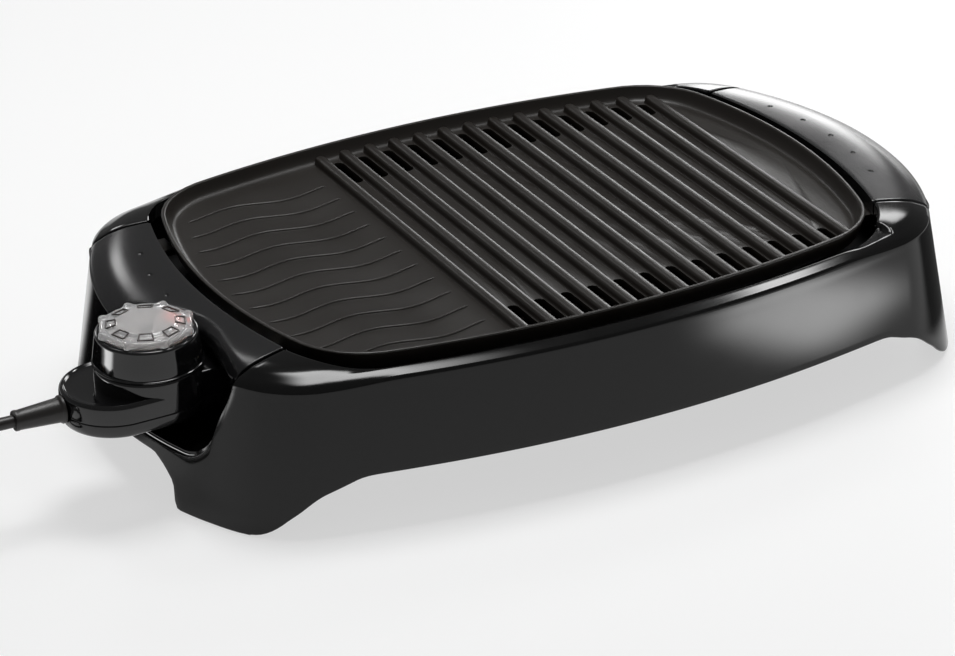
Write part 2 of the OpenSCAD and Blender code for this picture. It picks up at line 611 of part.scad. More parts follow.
module bimetal_blade() color("#b98a4a") at_knob() {
    for (k = [0, 1]) translate([-13, -4, part_z + 8 + k * 4]) cube([26, 8, 0.8]);
    translate([-13, -4, low_z + 3.9]) cube([6, 8, part_z - low_z + 8.5]);
    translate([8, 0, part_z + 8.5]) cylinder(r = 2, h = 4);
}
module female_terminals() color("#c9a24a") at_knob() for (s = [-1, 1])
    translate([neck_end - 22, s * pin_y, pin_h]) rotate([0, 90, 0]) difference() {
        cylinder(r = element_d / 2 + 1, h = 18);
        translate([0, 0, -1]) cylinder(r = element_d / 2 + 0.1, h = 22);
    }
module probe_rod() color("silver") at_knob() translate([14, 0, pin_h]) {
    reach = knob_reach - plate_x + 51;
    rotate([0, 90, 0]) cylinder(r = 2.8, h = reach);
    translate([reach, 0, 0]) sphere(2.8);
}
module strain_relief() color("#0e0e0f") at_knob() translate([-control_end, 0, cord_h]) rotate([0, -90, 0])
    rotate_extrude() polygon([[0, -9], [7.8, -9], [7.8, -6], [5.9, -6], [5.9, 0], [9.5, 0], [9.5, 2],
        [8.4, 3.2], [6.6, relief_len - 3], [6.9, relief_len - 2], [6.9, relief_len - 0.5],
        [6.2, relief_len], [0, relief_len]]);

// ---- dial ----
dial_gap = 0.4;
dial_edge = 4.6;
lobes = 8;
module dial_plan(r) {
    circle(r - 2.6, $fn = 96);
    for (i = [0:lobes - 1]) rotate([0, 0, i * 360 / lobes]) translate([r - 5, 0]) circle(5);
}
module dial_cap() color([0.9, 0.9, 0.92, 0.6]) at_knob() translate([0, 0, top_z + dial_gap]) difference() {
    union() {
        linear_extrude(dial_edge) dial_plan(top_r);
        translate([0, 0, dial_edge - 0.01]) rotate_extrude($fn = 96)
            polygon([[0, 0], [top_r - 6, 0], [top_r - 9, 1.2], [16, 1.9], [0, 2.2]]);
        translate([0, 0, -9]) cylinder(r = 5, h = 10);
    }
    translate([0, 0, -1]) rotate_extrude($fn = 96) polygon([[5, 0], [top_r - 5.5, 0], [top_r - 5.5, 3.2], [5, 3.8]]);
    translate([0, 0, -10]) cylinder(r = 3, h = 12);
}
module dial_insert() color("#c4c4c4") at_knob() translate([0, 0, top_z - 2]) difference() {
    cylinder(r = top_r - 5.6, h = 1.6);
    translate([0, 0, -1]) cylinder(r = 5.05, h = 4);
}
module dial_shaft() color("silver") at_knob() translate([0, 0, part_z + 14]) {
    cylinder(r = 2.95, h = top_z - part_z - 12.5);
    translate([0, 0, 4.7]) cylinder(r = 5, h = deck_z - part_z - 19);
}

// ---- cord and plug ----
coil_r = 47;
coil_w = 2.1 * cord_d;
coil_h = 1.95 * cord_d;
coil_c = [-488, -8];
cord_route = [[-392, -55, 76.5], [-405, -55, 76.5], [-420, -55, 75], [-434, -55, 69],
    [-444, -55, 59], [-451, -55, 47], [-457, -55, 34], [-464, -55, 22], [-473, -55, 12],
    [-483, -55, 6], [-494, -55, 5]];
module power_cord() color("#1b1a19") at_base() sweep(cord_route, cord_d / 2 - 0.05, 10);
module cord_coil() color("#1b1a19") at_base() translate([coil_c.x, coil_c.y, 0.2]) rotate_extrude($fn = 96)
    translate([coil_r, 0]) polygon([[-coil_w / 2, 1.5], [-coil_w / 2 + 1.5, 0], [coil_w / 2 - 1.5, 0],
        [coil_w / 2, 1.5], [coil_w / 2, coil_h - 1.5], [coil_w / 2 - 1.5, coil_h],
        [1.5 - coil_w / 2, coil_h], [-coil_w / 2, coil_h - 1.5]]);
module cord_tie() color("#0e0e0f") at_base() translate([coil_c.x, coil_c.y + coil_r, 0.1]) difference() {
    translate([-5, -coil_w / 2 - 1.2, 0]) cube([10, coil_w + 2.4, coil_h + 1.2]);
    translate([-6, -coil_w / 2 + 0.05, -1]) cube([12, coil_w - 0.1, coil_h + 1.05]);
}
plug_at = [coil_c.x - coil_r, coil_c.y + 34, 12.2];
module plug_body() color("#151515") at_base() translate(plug_at) rotate([-90, 0, 0]) difference() {
    union() {
        cylinder(r1 = 6, r2 = 8, h = 16);
        translate([0, 0, 14]) cylinder(r = 9, h = 4);
        hull() {
            translate([0, 0, 18]) cylinder(r = 9, h = 1);
            translate([-12, -12, 28]) linear_extrude(16) square([24, 24]);
        }
    }
    translate([0, 0, -1]) cylinder(r = cord_d / 2 - 0.1, h = 8);
}
module plug_blades() color("#d8c47a") at_base() translate(plug_at + [0, 44, 0]) for (s = [-1, 1])
    translate([s * 6.35 - 0.75, -4, -6.2]) cube([1.5, 21, 6.3]);
module plug_ground_pin() color("#d8c47a") at_base() translate(plug_at + [0, 40, 6.8]) rotate([-90, 0, 0])
    cylinder(r = 2.4, h = 23);

base_shell();
tray_support();
support_screws();
foot_pads();
grill_plate();
left_handle();
right_handle();
handle_screws();
heating_element();
element_clamps();
clamp_screws();
terminal_pins();
terminal_bushes();
terminal_guard();
drip_tray();
control_upper_housing();
control_lower_housing();
dial_tower();
light_ring();
indicator_lamp();
thermostat_frame();
bimetal_blade();
female_terminals();
probe_rod();
control_screws();
strain_relief();
dial_cap();
dial_insert();
dial_shaft();
power_cord();
cord_coil();
cord_tie();
plug_body();
plug_blades();
plug_ground_pin();
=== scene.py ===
import math

import bpy
from mathutils import Matrix, Vector


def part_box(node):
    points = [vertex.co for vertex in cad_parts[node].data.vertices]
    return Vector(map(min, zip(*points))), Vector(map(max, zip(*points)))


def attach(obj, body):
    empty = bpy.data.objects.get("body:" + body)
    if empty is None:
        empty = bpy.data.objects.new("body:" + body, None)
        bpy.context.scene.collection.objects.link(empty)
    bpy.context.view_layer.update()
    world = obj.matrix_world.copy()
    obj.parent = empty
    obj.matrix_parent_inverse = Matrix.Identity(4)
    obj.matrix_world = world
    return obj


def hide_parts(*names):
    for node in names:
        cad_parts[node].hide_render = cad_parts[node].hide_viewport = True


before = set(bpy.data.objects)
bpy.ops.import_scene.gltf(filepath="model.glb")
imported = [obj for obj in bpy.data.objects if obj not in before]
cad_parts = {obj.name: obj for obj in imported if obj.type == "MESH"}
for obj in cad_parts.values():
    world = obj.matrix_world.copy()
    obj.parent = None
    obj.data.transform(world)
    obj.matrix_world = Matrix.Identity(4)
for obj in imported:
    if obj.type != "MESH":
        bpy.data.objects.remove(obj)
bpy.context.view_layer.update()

# An open countertop grill: a gloss moulded base, a cast plate with ribs over two
# thirds and thin waves over the rest, a satin handle at each end, and a plug-in
# control with a clear dial, its lead wound up beside it. Plan sizes are in
# millimetres from the middle of the base; at() turns them into the frame's metres.

MM = 0.001
plate_low, plate_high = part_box("grill_plate")
MID = (plate_low.x + plate_high.x) / 2
KNOB = Vector((-297.0, -55.0, 0.0))
PIN_SIDE = 14.5                 # the terminal pins stand this far either side of the control's middle
LEAD_HEIGHT = 76.5              # where the lead leaves the control
MERGE = 0.01                    # points closer than this become one


def at(x, y, z):
    return Vector((MID + x * MM, y * MM, z * MM))


# ---------------------------------------------------------------- camera
AZIMUTH, ELEVATION, ROLL = (math.radians(a) for a in (-26.843, 26.646, -1.387))
DISTANCE = 2642.94
AIM = at(-18.407, 20.37, 17.0)


def set_camera():
    back = Vector((math.sin(AZIMUTH) * math.cos(ELEVATION),
                   -math.cos(AZIMUTH) * math.cos(ELEVATION), math.sin(ELEVATION)))
    right = Vector((math.cos(AZIMUTH), math.sin(AZIMUTH), 0))
    up = back.cross(right)
    level_x = right * math.cos(ROLL) + up * math.sin(ROLL)
    level_y = up * math.cos(ROLL) - right * math.sin(ROLL)
    bpy.ops.object.camera_add()
    camera = bpy.context.active_object
    camera.name = "camera"
    camera.data.lens = 141.22
    camera.data.sensor_width = 36
    camera.data.clip_end = 50
    turn = Matrix((level_x, level_y, back)).transposed().to_4x4()
    camera.matrix_world = Matrix.Translation(AIM + back * DISTANCE * MM) @ turn
    bpy.context.scene.camera = camera


set_camera()


# ---------------------------------------------------------------- small tools
def linear(hex_colour):
    """An sRGB hex colour as linear RGBA."""
    parts = [int(hex_colour[i:i + 2], 16) / 255 for i in (1, 3, 5)]
    return tuple(p / 12.92 if p <= 0.04045 else ((p + 0.055) / 1.055) ** 2.4 for p in parts) + (1,)


def add(tree, kind, inputs=None, **settings):
    """A node of that kind with its settings; an input is a value or (node, output)."""
    node = tree.nodes.new(kind)
    for key, value in settings.items():
        setattr(node, key, value)
    for key, value in (inputs or {}).items():
        if isinstance(value, tuple) and isinstance(value[0], bpy.types.Node):
            tree.links.new(value[0].outputs[value[1]], node.inputs[key])
        else:
            node.inputs[key].default_value = value
    return node


def deselect():
    if bpy.context.mode != "OBJECT":
        bpy.ops.object.mode_set(mode="OBJECT")
    bpy.ops.object.select_all(action="DESELECT")


def pick(obj):
    deselect()
    obj.select_set(True)
    bpy.context.view_layer.objects.active = obj


def named(name):
    obj = bpy.context.active_object
    obj.name = name
    obj.data.name = name
    return obj


def made(name, operator, **settings):
    """The new object that an add operator makes."""
    deselect()
    operator(**settings)
    return named(name)


def settle(obj):
    """Moves the object's place into its mesh."""
    pick(obj)
    bpy.ops.object.transform_apply(location=True, rotation=True, scale=True)
    return obj


def modify(obj, kind, **settings):
    pick(obj)
    modifier = obj.modifiers.new(kind, kind)
    for key, value in settings.items():
        setattr(modifier, key, value)
    bpy.ops.object.modifier_apply(modifier=modifier.name)
    return obj


def join(name, *pieces):
    pick(pieces[0])
    for piece in pieces[1:]:
        piece.select_set(True)
    bpy.ops.object.join()
    return named(name)


def cut(obj, *cutters):
    for cutter in cutters:
        modify(obj, "BOOLEAN", operation="DIFFERENCE", solver="EXACT", object=cutter)
        bpy.data.objects.remove(cutter)
    return obj


def edited(obj, operator, **settings):
    """The object after a mesh operator on all of it."""
    pick(obj)
    bpy.ops.object.mode_set(mode="EDIT")
    bpy.ops.mesh.select_all(action="SELECT")
    operator(**settings)
    bpy.ops.object.mode_set(mode="OBJECT")
    return obj


def merged(obj):
    return edited(obj, bpy.ops.mesh.remove_doubles, threshold=MERGE * MM)


def tidy_mesh(obj):
    """Merges doubled points and turns faces outwards."""
    return edited(merged(obj), bpy.ops.mesh.normals_make_consistent, inside=False)


def close_ends(obj):
    return edited(obj, bpy.ops.mesh.fill_holes, sides=0)


def sheet_of(name, columns, keep=None, closed=False):
    """A grid laid over columns of points; keep(i, j) says which faces stay."""
    if closed:
        columns = columns + [columns[0]]
    across, up = len(columns) - 1, len(columns[0]) - 1
    obj = made(name, bpy.ops.mesh.primitive_grid_add, x_subdivisions=across, y_subdivisions=up, size=2)
    spot = []
    for v in obj.data.vertices:
        i, j = round((v.co.x + 1) / 2 * across), round((v.co.y + 1) / 2 * up)
        spot.append((i, j))
        v.co = columns[i][j]
    if keep:
        for face in obj.data.polygons:
            corners = [spot[v] for v in face.vertices]
            face.select = not keep(min(c[0] for c in corners), min(c[1] for c in corners))
        bpy.context.tool_settings.mesh_select_mode = (False, False, True)
        bpy.ops.object.mode_set(mode="EDIT")
        bpy.ops.mesh.delete(type="FACE")
        bpy.context.tool_settings.mesh_select_mode = (True, False, False)
        bpy.ops.object.mode_set(mode="OBJECT")
    return merged(obj)


def smooth_line(points, per):
    """A line through the points without overshoot, per steps to each stretch."""
    pts = [Vector(p) for p in points]
    pts = [2 * pts[0] - pts[1]] + pts + [2 * pts[-1] - pts[-2]]
    line = []
    for p0, p1, p2, p3 in zip(pts, pts[1:], pts[2:], pts[3:]):
        t1 = max((p1 - p0).length, 1e-6) ** 0.5
        t2 = t1 + max((p2 - p1).length, 1e-6) ** 0.5
        t3 = t2 + max((p3 - p2).length, 1e-6) ** 0.5
        for k in range(per):
            t = t1 + (t2 - t1) * k / per
            a1 = p0 * ((t1 - t) / t1) + p1 * (t / t1)
            a2 = p1 * ((t2 - t) / (t2 - t1)) + p2 * ((t - t1) / (t2 - t1))
            a3 = p2 * ((t3 - t) / (t3 - t2)) + p3 * ((t - t2) / (t3 - t2))
            b1 = a1 * ((t2 - t) / t2) + a2 * (t / t2)
            b2 = a2 * ((t3 - t) / (t3 - t1)) + a3 * ((t - t1) / (t3 - t1))
            line.append(b1 * ((t2 - t) / (t2 - t1)) + b2 * ((t - t1) / (t2 - t1)))
    return line + [pts[-2]]


def spaced(points, count):
    """count points at equal steps along a line of points."""
    pts = [Vector(p) for p in points]
    ends = [0.0]
    for a, b in zip(pts, pts[1:]):
        ends.append(ends[-1] + (b - a).length)
    out, k = [], 0
    for i in range(count):
        d = ends[-1] * i / (count - 1)
        while k < len(pts) - 2 and ends[k + 1] < d:
            k += 1
        out.append(pts[k].lerp(pts[k + 1], (d - ends[k]) / max(ends[k + 1] - ends[k], 1e-9)))
    return out


def look_up(table, x):
    """A smooth reading of a table of (x, value), flat outside it."""
    if x <= table[0][0]:
        return table[0][1]
    if x >= table[-1][0]:
        return table[-1][1]
    steps = [(b[1] - a[1]) / (b[0] - a[0]) for a, b in zip(table, table[1:])]
    slopes = [2 * p * q / (p + q) if p * q > 0 else 0 for p, q in zip(steps, steps[1:])]
    slopes = [steps[0]] + slopes + [steps[-1]]
    for k, (a, b) in enumerate(zip(table, table[1:])):
        if x <= b[0]:
            h = b[0] - a[0]
            t = (x - a[0]) / h
            return (a[1] * (1 + 2 * t) * (1 - t) ** 2 + slopes[k] * h * t * (1 - t) ** 2
                    + b[1] * t * t * (3 - 2 * t) + slopes[k + 1] * h * t * t * (t - 1))


def solve(function, low, high, target):
    """Where a steadily changing function meets the target."""
    rising = function(high) > function(low)
    for _ in range(34):
        middle = (low + high) / 2
        if (function(middle) < target) == rising:
            low = middle
        else:
            high = middle
    return (low + high) / 2


def ease(t):
    """0 up to 0 and 1 from 1 on, with a smooth step between."""
    t = min(max(t, 0), 1)
    return t * t * (3 - 2 * t)


def angles(count, offset=0):
    """Equal steps round a circle."""
    return [2 * math.pi * (k + offset) / count for k in range(count)]


def spun(profile, centre, a):
    """(radius, height) pairs at the angle a about an upright axis."""
    return [at(centre.x + r * math.cos(a), centre.y + r * math.sin(a), z) for r, z in profile]


def turned(name, profile, centre, steps=96):
    """A lathe-turned piece: (radius, height) pairs about an upright axis."""
    return sheet_of(name, [spun(profile, centre, a) for a in angles(steps)], closed=True)


def round_bar(name, radius, length, middle, sides, rotation=(0, 0, 0)):
    return settle(made(name, bpy.ops.mesh.primitive_cylinder_add, vertices=sides, radius=radius * MM,
                       depth=length * MM, rotation=rotation, location=middle))


def box_piece(name, low, high, bevel=0.6, segments=3):
    obj = made(name, bpy.ops.mesh.primitive_cube_add, size=1)
    for v in obj.data.vertices:
        v.co = at(*[low[k] if v.co[k] < 0 else high[k] for k in range(3)])
    return modify(obj, "BEVEL", width=bevel * MM, segments=segments, limit_method="NONE")


def tube(name, points, radius, sides=20):
    """A round bar along a line of points, ends closed."""
    columns = [[] for _ in range(sides)]
    side = None
    for i, p in enumerate(points):
        ahead = (points[min(i + 1, len(points) - 1)] - points[max(i - 1, 0)]).normalized()
        if side is None:
            side = ahead.cross(Vector((0, 0, 1)) if abs(ahead.z) < 0.9 else Vector((1, 0, 0))).normalized()
        side = (side - ahead * side.dot(ahead)).normalized()
        other = side.cross(ahead)
        for column, a in zip(columns, angles(sides)):
            column.append(p + (side * math.cos(a) + other * math.sin(a)) * radius * MM)
    for column in columns:
        column.insert(0, points[0].copy())
        column.append(points[-1].copy())
    return tidy_mesh(sheet_of(name, columns, closed=True))


def place(obj, finish, body, slot, *stands_for, smooth=35):
    """Gives a finished piece its material and its body, and hides the parts it stands for; its slot is not
    used.
    """
    pick(obj)
    if obj.type == "MESH" and smooth:
        bpy.ops.object.shade_smooth_by_angle(angle=math.radians(smooth))
    if not obj.data.materials:
        obj.data.materials.append(finish)
    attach(obj, body)
    if stands_for:
        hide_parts(*stands_for)
    return obj


# ---------------------------------------------------------------- materials
def new_material(name, colour):
    """A material of that colour, its node tree and its shader."""
    material = bpy.data.materials.new(name)
    material.use_nodes = True
    shader = material.node_tree.nodes["Principled BSDF"]
    shader.inputs["Base Color"].default_value = linear(colour)
    return material, material.node_tree, shader


def moulded(name, colour, roughness, spread=0.03, grain=0.4, depth=0.0, tone=0.0, **sockets):
    """A plain surface with a little drift in gloss, and grain of that size in millimetres."""
    finish, tree, shader = new_material(name, colour)
    shader.inputs["Roughness"].default_value = roughness
    for key, value in sockets.items():
        shader.inputs[key.replace("_", " ")].default_value = value
    place_of = add(tree, "ShaderNodeTexCoord")
    drift = add(tree, "ShaderNodeTexNoise", {"Vector": (place_of, "Object"), "Scale": 22.0, "Detail": 4.0})
    gloss = add(tree, "ShaderNodeMapRange", {"Value": (drift, "Fac"), "From Min": 0.3, "From Max": 0.7,
                                             "To Min": max(roughness - spread, 0.0),
                                             "To Max": roughness + spread})
    tree.links.new(gloss.outputs["Result"], shader.inputs["Roughness"])
    if tone:
        lighter = add(tree, "ShaderNodeMix", {"Factor": (drift, "Fac")}, data_type="RGBA")
        for socket, share in (("A", 1 - tone), ("B", 1 + tone)):
            lighter.inputs[socket].default_value = tuple(c * share for c in linear(colour)[:3]) + (1,)
        tree.links.new(lighter.outputs["Result"], shader.inputs["Base Color"])
    if depth:
        pits = add(tree, "ShaderNodeTexNoise", {"Vector": (place_of, "Object"), "Scale": 1000 / grain / 2,
                                               "Detail": 3.0, "Roughness": 0.6})
        bump = add(tree, "ShaderNodeBump", {"Height": (pits, "Fac"), "Distance": depth * MM, "Strength": 1.0})
        tree.links.new(bump.outputs["Normal"], shader.inputs["Normal"])
    return finish


# Gloss black ABS, injection moulded in a polished tool: deep black, with a slight
# drift in gloss that softens what it mirrors.
gloss_abs = moulded("gloss_black_abs", "#090909", 0.12, spread=0.02, IOR=1.38)
# The same ABS in the control's smaller, sharper tools: a brighter polish.
control_abs = moulded("polished_black_abs", "#0d0d0e", 0.08, spread=0.02, IOR=1.54)
# Satin charcoal polypropylene, moulded in a spark-eroded tool: an even fine grain.
satin_pp = moulded("satin_charcoal_polypropylene", "#111112", 0.21, spread=0.02, grain=0.7, depth=0.01,
                   IOR=1.49)
# Cast aluminium with a sprayed non-stick coat: warm near-black with a sandy tooth.
nonstick = moulded("nonstick_coated_cast_aluminium", "#181410", 0.36, spread=0.05, grain=0.9, depth=0.05,
                   tone=0.12, IOR=1.43)
# Coated sheet steel for the tray.
tray_steel = moulded("coated_sheet_steel", "#262626", 0.38, spread=0.04, grain=1.2, depth=0.03)
# Matt black polypropylene for the frame under the base.
matt_pp = moulded("matt_black_polypropylene", "#161617", 0.5, spread=0.03, grain=0.8, depth=0.03)
# Moulded nitrile rubber pads.
nitrile = moulded("black_nitrile_rubber", "#131313", 0.7, spread=0.04, grain=0.8, depth=0.05)
# Rubber-sheathed lead, extruded: matt dark grey-brown.
sheath = moulded("extruded_rubber_sheath", "#1e1b19", 0.4, spread=0.04, grain=0.5, depth=0.03)
# Satin PVC moulding of the plug.
plug_pvc = moulded("moulded_pvc_plug", "#1c1c1d", 0.4, spread=0.03, grain=0.6, depth=0.03)
# Bright zinc-plated steel.
plated = moulded("zinc_plated_steel", "#b9babd", 0.28, spread=0.06, grain=1.0, depth=0.01, Metallic=1.0)
# Element sheath, heat-darkened nickel alloy.
sheathed = moulded("heat_darkened_nickel_alloy", "#6d655d", 0.42, spread=0.08, grain=0.8, depth=0.02,
                   tone=0.25, Metallic=1.0)
# Glazed steatite.
steatite = moulded("glazed_steatite", "#d9d1bd", 0.2, spread=0.03)
# Rolled brass.
brass = moulded("rolled_brass", "#c79d55", 0.3, spread=0.05, grain=1.0, depth=0.01, Metallic=1.0)
# Polished cast acrylic of the dial.
acrylic = moulded("polished_clear_acrylic", "#f2f2f2", 0.06, spread=0.03, Transmission_Weight=0.72, IOR=1.49)
# Pale printed polycarbonate disc under the dial.
pale_disc = moulded("frosted_polycarbonate_disc", "#e4dcd8", 0.5, spread=0.05, tone=0.12)
# Dark ink of the window frames printed on the dial.
window_ink = moulded("screen_printed_ink", "#3a3230", 0.35, spread=0.05)
# Neon lamp lens, lit.
lamp_glow = moulded("lit_orange_lens", "#ff5a24", 0.3, Emission_Strength=3.0)
lamp_glow.node_tree.nodes["Principled BSDF"].inputs["Emission Color"].default_value = linear("#ff4a18")


def paint_lamp_glow(finish, source, middle, reach, colour, strength):
    """Paints the lamp's glow on the disc as emission: a soft patch of painted light that stays by the lamp."""
    tree = finish.node_tree
    shader = tree.nodes["Principled BSDF"]
    here = add(tree, "ShaderNodeTexCoord", object=source)
    spot = add(tree, "ShaderNodeVectorMath", {0: (here, "Object"), 1: middle}, operation="DISTANCE")
    fall = add(tree, "ShaderNodeMapRange", {"Value": (spot, "Value"), "From Min": 0.0, "From Max": reach * MM,
                                            "To Min": strength, "To Max": 0.0}, interpolation_type="SMOOTHSTEP")
    tree.links.new(fall.outputs["Result"], shader.inputs["Emission Strength"])
    shader.inputs["Emission Color"].default_value = linear(colour)


# ---------------------------------------------------------------- lead
LEAD_WIDE = 8.5
LEAD_ROUTE = [(-391, -55, 76.5), (-405, -55, 76.5), (-420, -55, 75), (-434, -55, 69), (-444, -55, 59),
              (-451, -55, 47), (-457, -55, 34), (-464, -55, 22), (-473, -55, 12), (-483, -55.2, 6.6)]
# The coil's middle and turns; its radius and height against the turns made so far
COIL, TURNS, TURN_POINTS = (-488, -8), 2.25, 15
COIL_RADIUS = [(0, 47.2), (0.3, 51.1), (0.85, 51.1), (1.15, 42.8), (1.7, 42.8), (1.95, 46.8), (2.25, 47)]
COIL_HEIGHT = [(0, 4.9), (0.2, 4.6), (1.72, 4.6), (2.0, 12.0), (2.25, 12.2)]


def lead_points():
    points = list(LEAD_ROUTE)
    count = int(TURNS * TURN_POINTS)
    for k in range(count + 1):
        t = TURNS * k / count
        a = math.radians(-96 - 360 * t + 6 * t / TURNS)
        radius = look_up(COIL_RADIUS, t)
        points.append((COIL[0] + radius * math.cos(a), COIL[1] + radius * math.sin(a), look_up(COIL_HEIGHT, t)))
    points += [(-535, 4, 12.2), (-535, 16, 12.2), (-535, 29, 12.2)]
    return points


def make_lead():
    lead = made("mains_lead", bpy.ops.curve.primitive_bezier_curve_add)
    points = lead_points()
    lead.data.splines.clear()
    spline = lead.data.splines.new("BEZIER")
    spline.bezier_points.add(len(points) - 1)
    for knot, point in zip(spline.bezier_points, points):
        knot.co = at(*point)
        knot.handle_left_type = knot.handle_right_type = "AUTO"
    lead.data.dimensions = "3D"
    lead.data.resolution_u = 6
    lead.data.bevel_depth = (LEAD_WIDE / 2 - 0.05) * MM
    lead.data.bevel_resolution = 4
    lead.data.use_fill_caps = True
    bpy.context.view_layer.update()
    return place(lead, sheath, "control", "cord_rubber", "power_cord", "cord_coil", smooth=0), points


def make_strap():
    """A releasable strap round the turns of the coil."""
    x, y = COIL[0], COIL[1] + 47
    half_w, top = 2.1 * LEAD_WIDE / 2, 1.95 * LEAD_WIDE
    outer = box_piece("strap", (x - 5, y - half_w - 1.1, 0.15), (x + 5, y + half_w + 1.1, top + 1.2), bevel=1.5)
    inner = box_piece("strap_inside", (x - 8, y - half_w + 0.3, 1.0), (x + 8, y + half_w - 0.3, top), bevel=1.0)
    cut(outer, inner)
    return place(outer, nitrile, "control", "cord_rubber", "cord_tie")


PLUG = (-535, 26, 12.2)


def make_plug():
    """A three-pin plug: tapered neck with rings, a waist, and a squared body."""
    rings = []
    profile = [(0, 5.0, 0), (0.01, 5.4, 0), (0.6, 6, 0), (3, 6.1, 0), (3.6, 5.5, 0), (4.6, 5.5, 0),
               (5.2, 6.4, 0), (7.6, 6.6, 0), (8.2, 5.9, 0), (9.2, 5.9, 0), (9.8, 7, 0), (13, 7.4, 0),
               (15, 8.4, 0.1), (18, 9.2, 0.3), (22, 10.2, 0.6), (26, 11.4, 0.9), (30, 12, 1), (41.6, 12, 1),
               (43, 11.6, 1), (43.8, 10.6, 1), (44, 9, 1)]
    for along, half, square in profile:
        ring = []
        power = 2 + 5 * square
        for a in angles(48):
            c, s = math.cos(a), math.sin(a)
            r = half / (abs(c) ** power + abs(s) ** power) ** (1 / power)
            ring.append(at(PLUG[0] + r * c, PLUG[1] + along, max(PLUG[2] + r * s, 0.2)))
        rings.append(ring)
    start, end = at(*PLUG), at(PLUG[0], PLUG[1] + profile[-1][0], PLUG[2])
    columns = [[start, *column, end] for column in zip(*rings)]
    return place(tidy_mesh(sheet_of("plug_moulding", columns, closed=True)), plug_pvc, "control",
                 "plug_plastic", "plug_body")


lead, route = make_lead()
strap = make_strap()
plug = make_plug()

# ---------------------------------------------------------------- outlines
# An outline is half length, half depth, end radius, side radius, corner radius.
FOOTPRINT = (312, 200, 267, 895, 84)
PLATE = (232, 169.5, 387, 844, 63)
OPENING = (239.5, 176.5, 420, 860, 70)
LEANS = [math.tan(math.radians(a)) for a in (9.5, 8)]
MEAN_LEAN = sum(LEANS) / 2
END_SHARE, CORNER_SHARE = 5 / 19, 13 / 19      # parts of a quarter outline


def grown(spec, d):
    return tuple(s + d for s in spec)


def wall(z):
    a, b, end, side, corner = FOOTPRINT
    return (a - z * LEANS[0], b - z * LEANS[1], end - z * MEAN_LEAN, side - z * MEAN_LEAN,
            corner - z * MEAN_LEAN)


arc_cache = {}


def arcs(spec):
    """Centre of the corner arc and the angles where the three arcs meet."""
    if spec not in arc_cache:
        a, b, end, side, corner = spec
        c1, c2 = Vector((a - end, 0)), Vector((0, b - side))
        r1, r2 = end - corner, side - corner
        d = (c2 - c1).length
        m = (r1 * r1 - r2 * r2 + d * d) / (2 * d)
        h = math.sqrt(max(r1 * r1 - m * m, 0))
        u = (c2 - c1) / d
        v = Vector((-u.y, u.x))
        c = max((c1 + m * u + h * v, c1 + m * u - h * v), key=lambda p: p.x + p.y)
        arc_cache[spec] = (c, math.atan2(c.y, c.x - a + end), math.atan2(c.y - b + side, c.x))
    return arc_cache[spec]


def ring_point(spec, u):
    """The outline's point at u, which runs from 0 to 4 round it from the right end."""
    u %= 4
    quarter, f = int(u) % 4, u - int(u)
    if quarter % 2:
        f = 1 - f
    a, b, end, side, corner = spec
    c, t1, t2 = arcs(spec)
    if f < END_SHARE:
        t = t1 * f / END_SHARE
        p = Vector((a - end + end * math.cos(t), end * math.sin(t)))
    elif f < CORNER_SHARE:
        t = t1 + (t2 - t1) * (f - END_SHARE) / (CORNER_SHARE - END_SHARE)
        p = c + corner * Vector((math.cos(t), math.sin(t)))
    else:
        t = t2 + (math.pi / 2 - t2) * (f - CORNER_SHARE) / (1 - CORNER_SHARE)
        p = Vector((side * math.cos(t), b - side + side * math.sin(t)))
    return Vector((p.x if quarter in (0, 3) else -p.x, p.y if quarter < 2 else -p.y))


def nearest(spec, x, y):
    """The outline's point nearest to a point, and how far inside the point lies."""
    a, b, end, side, corner = spec
    c, t1, t2 = arcs(spec)
    p = Vector((abs(x), abs(y)))
    t = math.atan2(p.y - c.y, p.x - c.x)
    if t < t1:
        middle, radius = Vector((a - end, 0)), end
    elif t < t2:
        middle, radius = c, corner
    else:
        middle, radius = Vector((0, b - side)), side
    reach = p - middle
    spot = middle + reach.normalized() * radius
    return Vector((math.copysign(spot.x, x), math.copysign(spot.y, y))), radius - reach.length


def edge_y(spec, x):
    a, b, end, side, corner = spec
    c = arcs(spec)[0]
    if abs(x) < c.x * side / (side - corner):
        return b - side + math.sqrt(side * side - x * x)
    return c.y + math.sqrt(max(0, corner ** 2 - (abs(x) - c.x) ** 2))


def edge_x(spec, y):
    a, b, end, side, corner = spec
    c = arcs(spec)[0]
    if abs(y) < c.y * end / (end - corner):
        return a - end + math.sqrt(end * end - y * y)
    return c.x + math.sqrt(max(0, corner ** 2 - (abs(y) - c.y) ** 2))


def round_outline(spec, per_quarter):
    """u values at near-equal steps round an outline."""
    fine = [i / 200 for i in range(201)]
    pts = [ring_point(spec, u) for u in fine[:-1]] + [Vector((0, spec[1]))]
    ends = [0.0]
    for a, b in zip(pts, pts[1:]):
        ends.append(ends[-1] + (b - a).length)
    quarter = []
    for k in range(per_quarter):
        d = ends[-1] * k / per_quarter
        i = max(i for i in range(201) if ends[i] <= d + 1e-9)
        i = min(i, 199)
        quarter.append((i + (d - ends[i]) / (ends[i + 1] - ends[i])) / 200)
    first = quarter + [1.0]
    return quarter + [2 - f for f in reversed(first)][:-1] + [2 + f for f in quarter] \
        + [4 - f for f in reversed(first)][:-1]


# ---------------------------------------------------------------- base shell
SHOULDER, CROWN = 106.5, 112.0
SEAT = 99.5
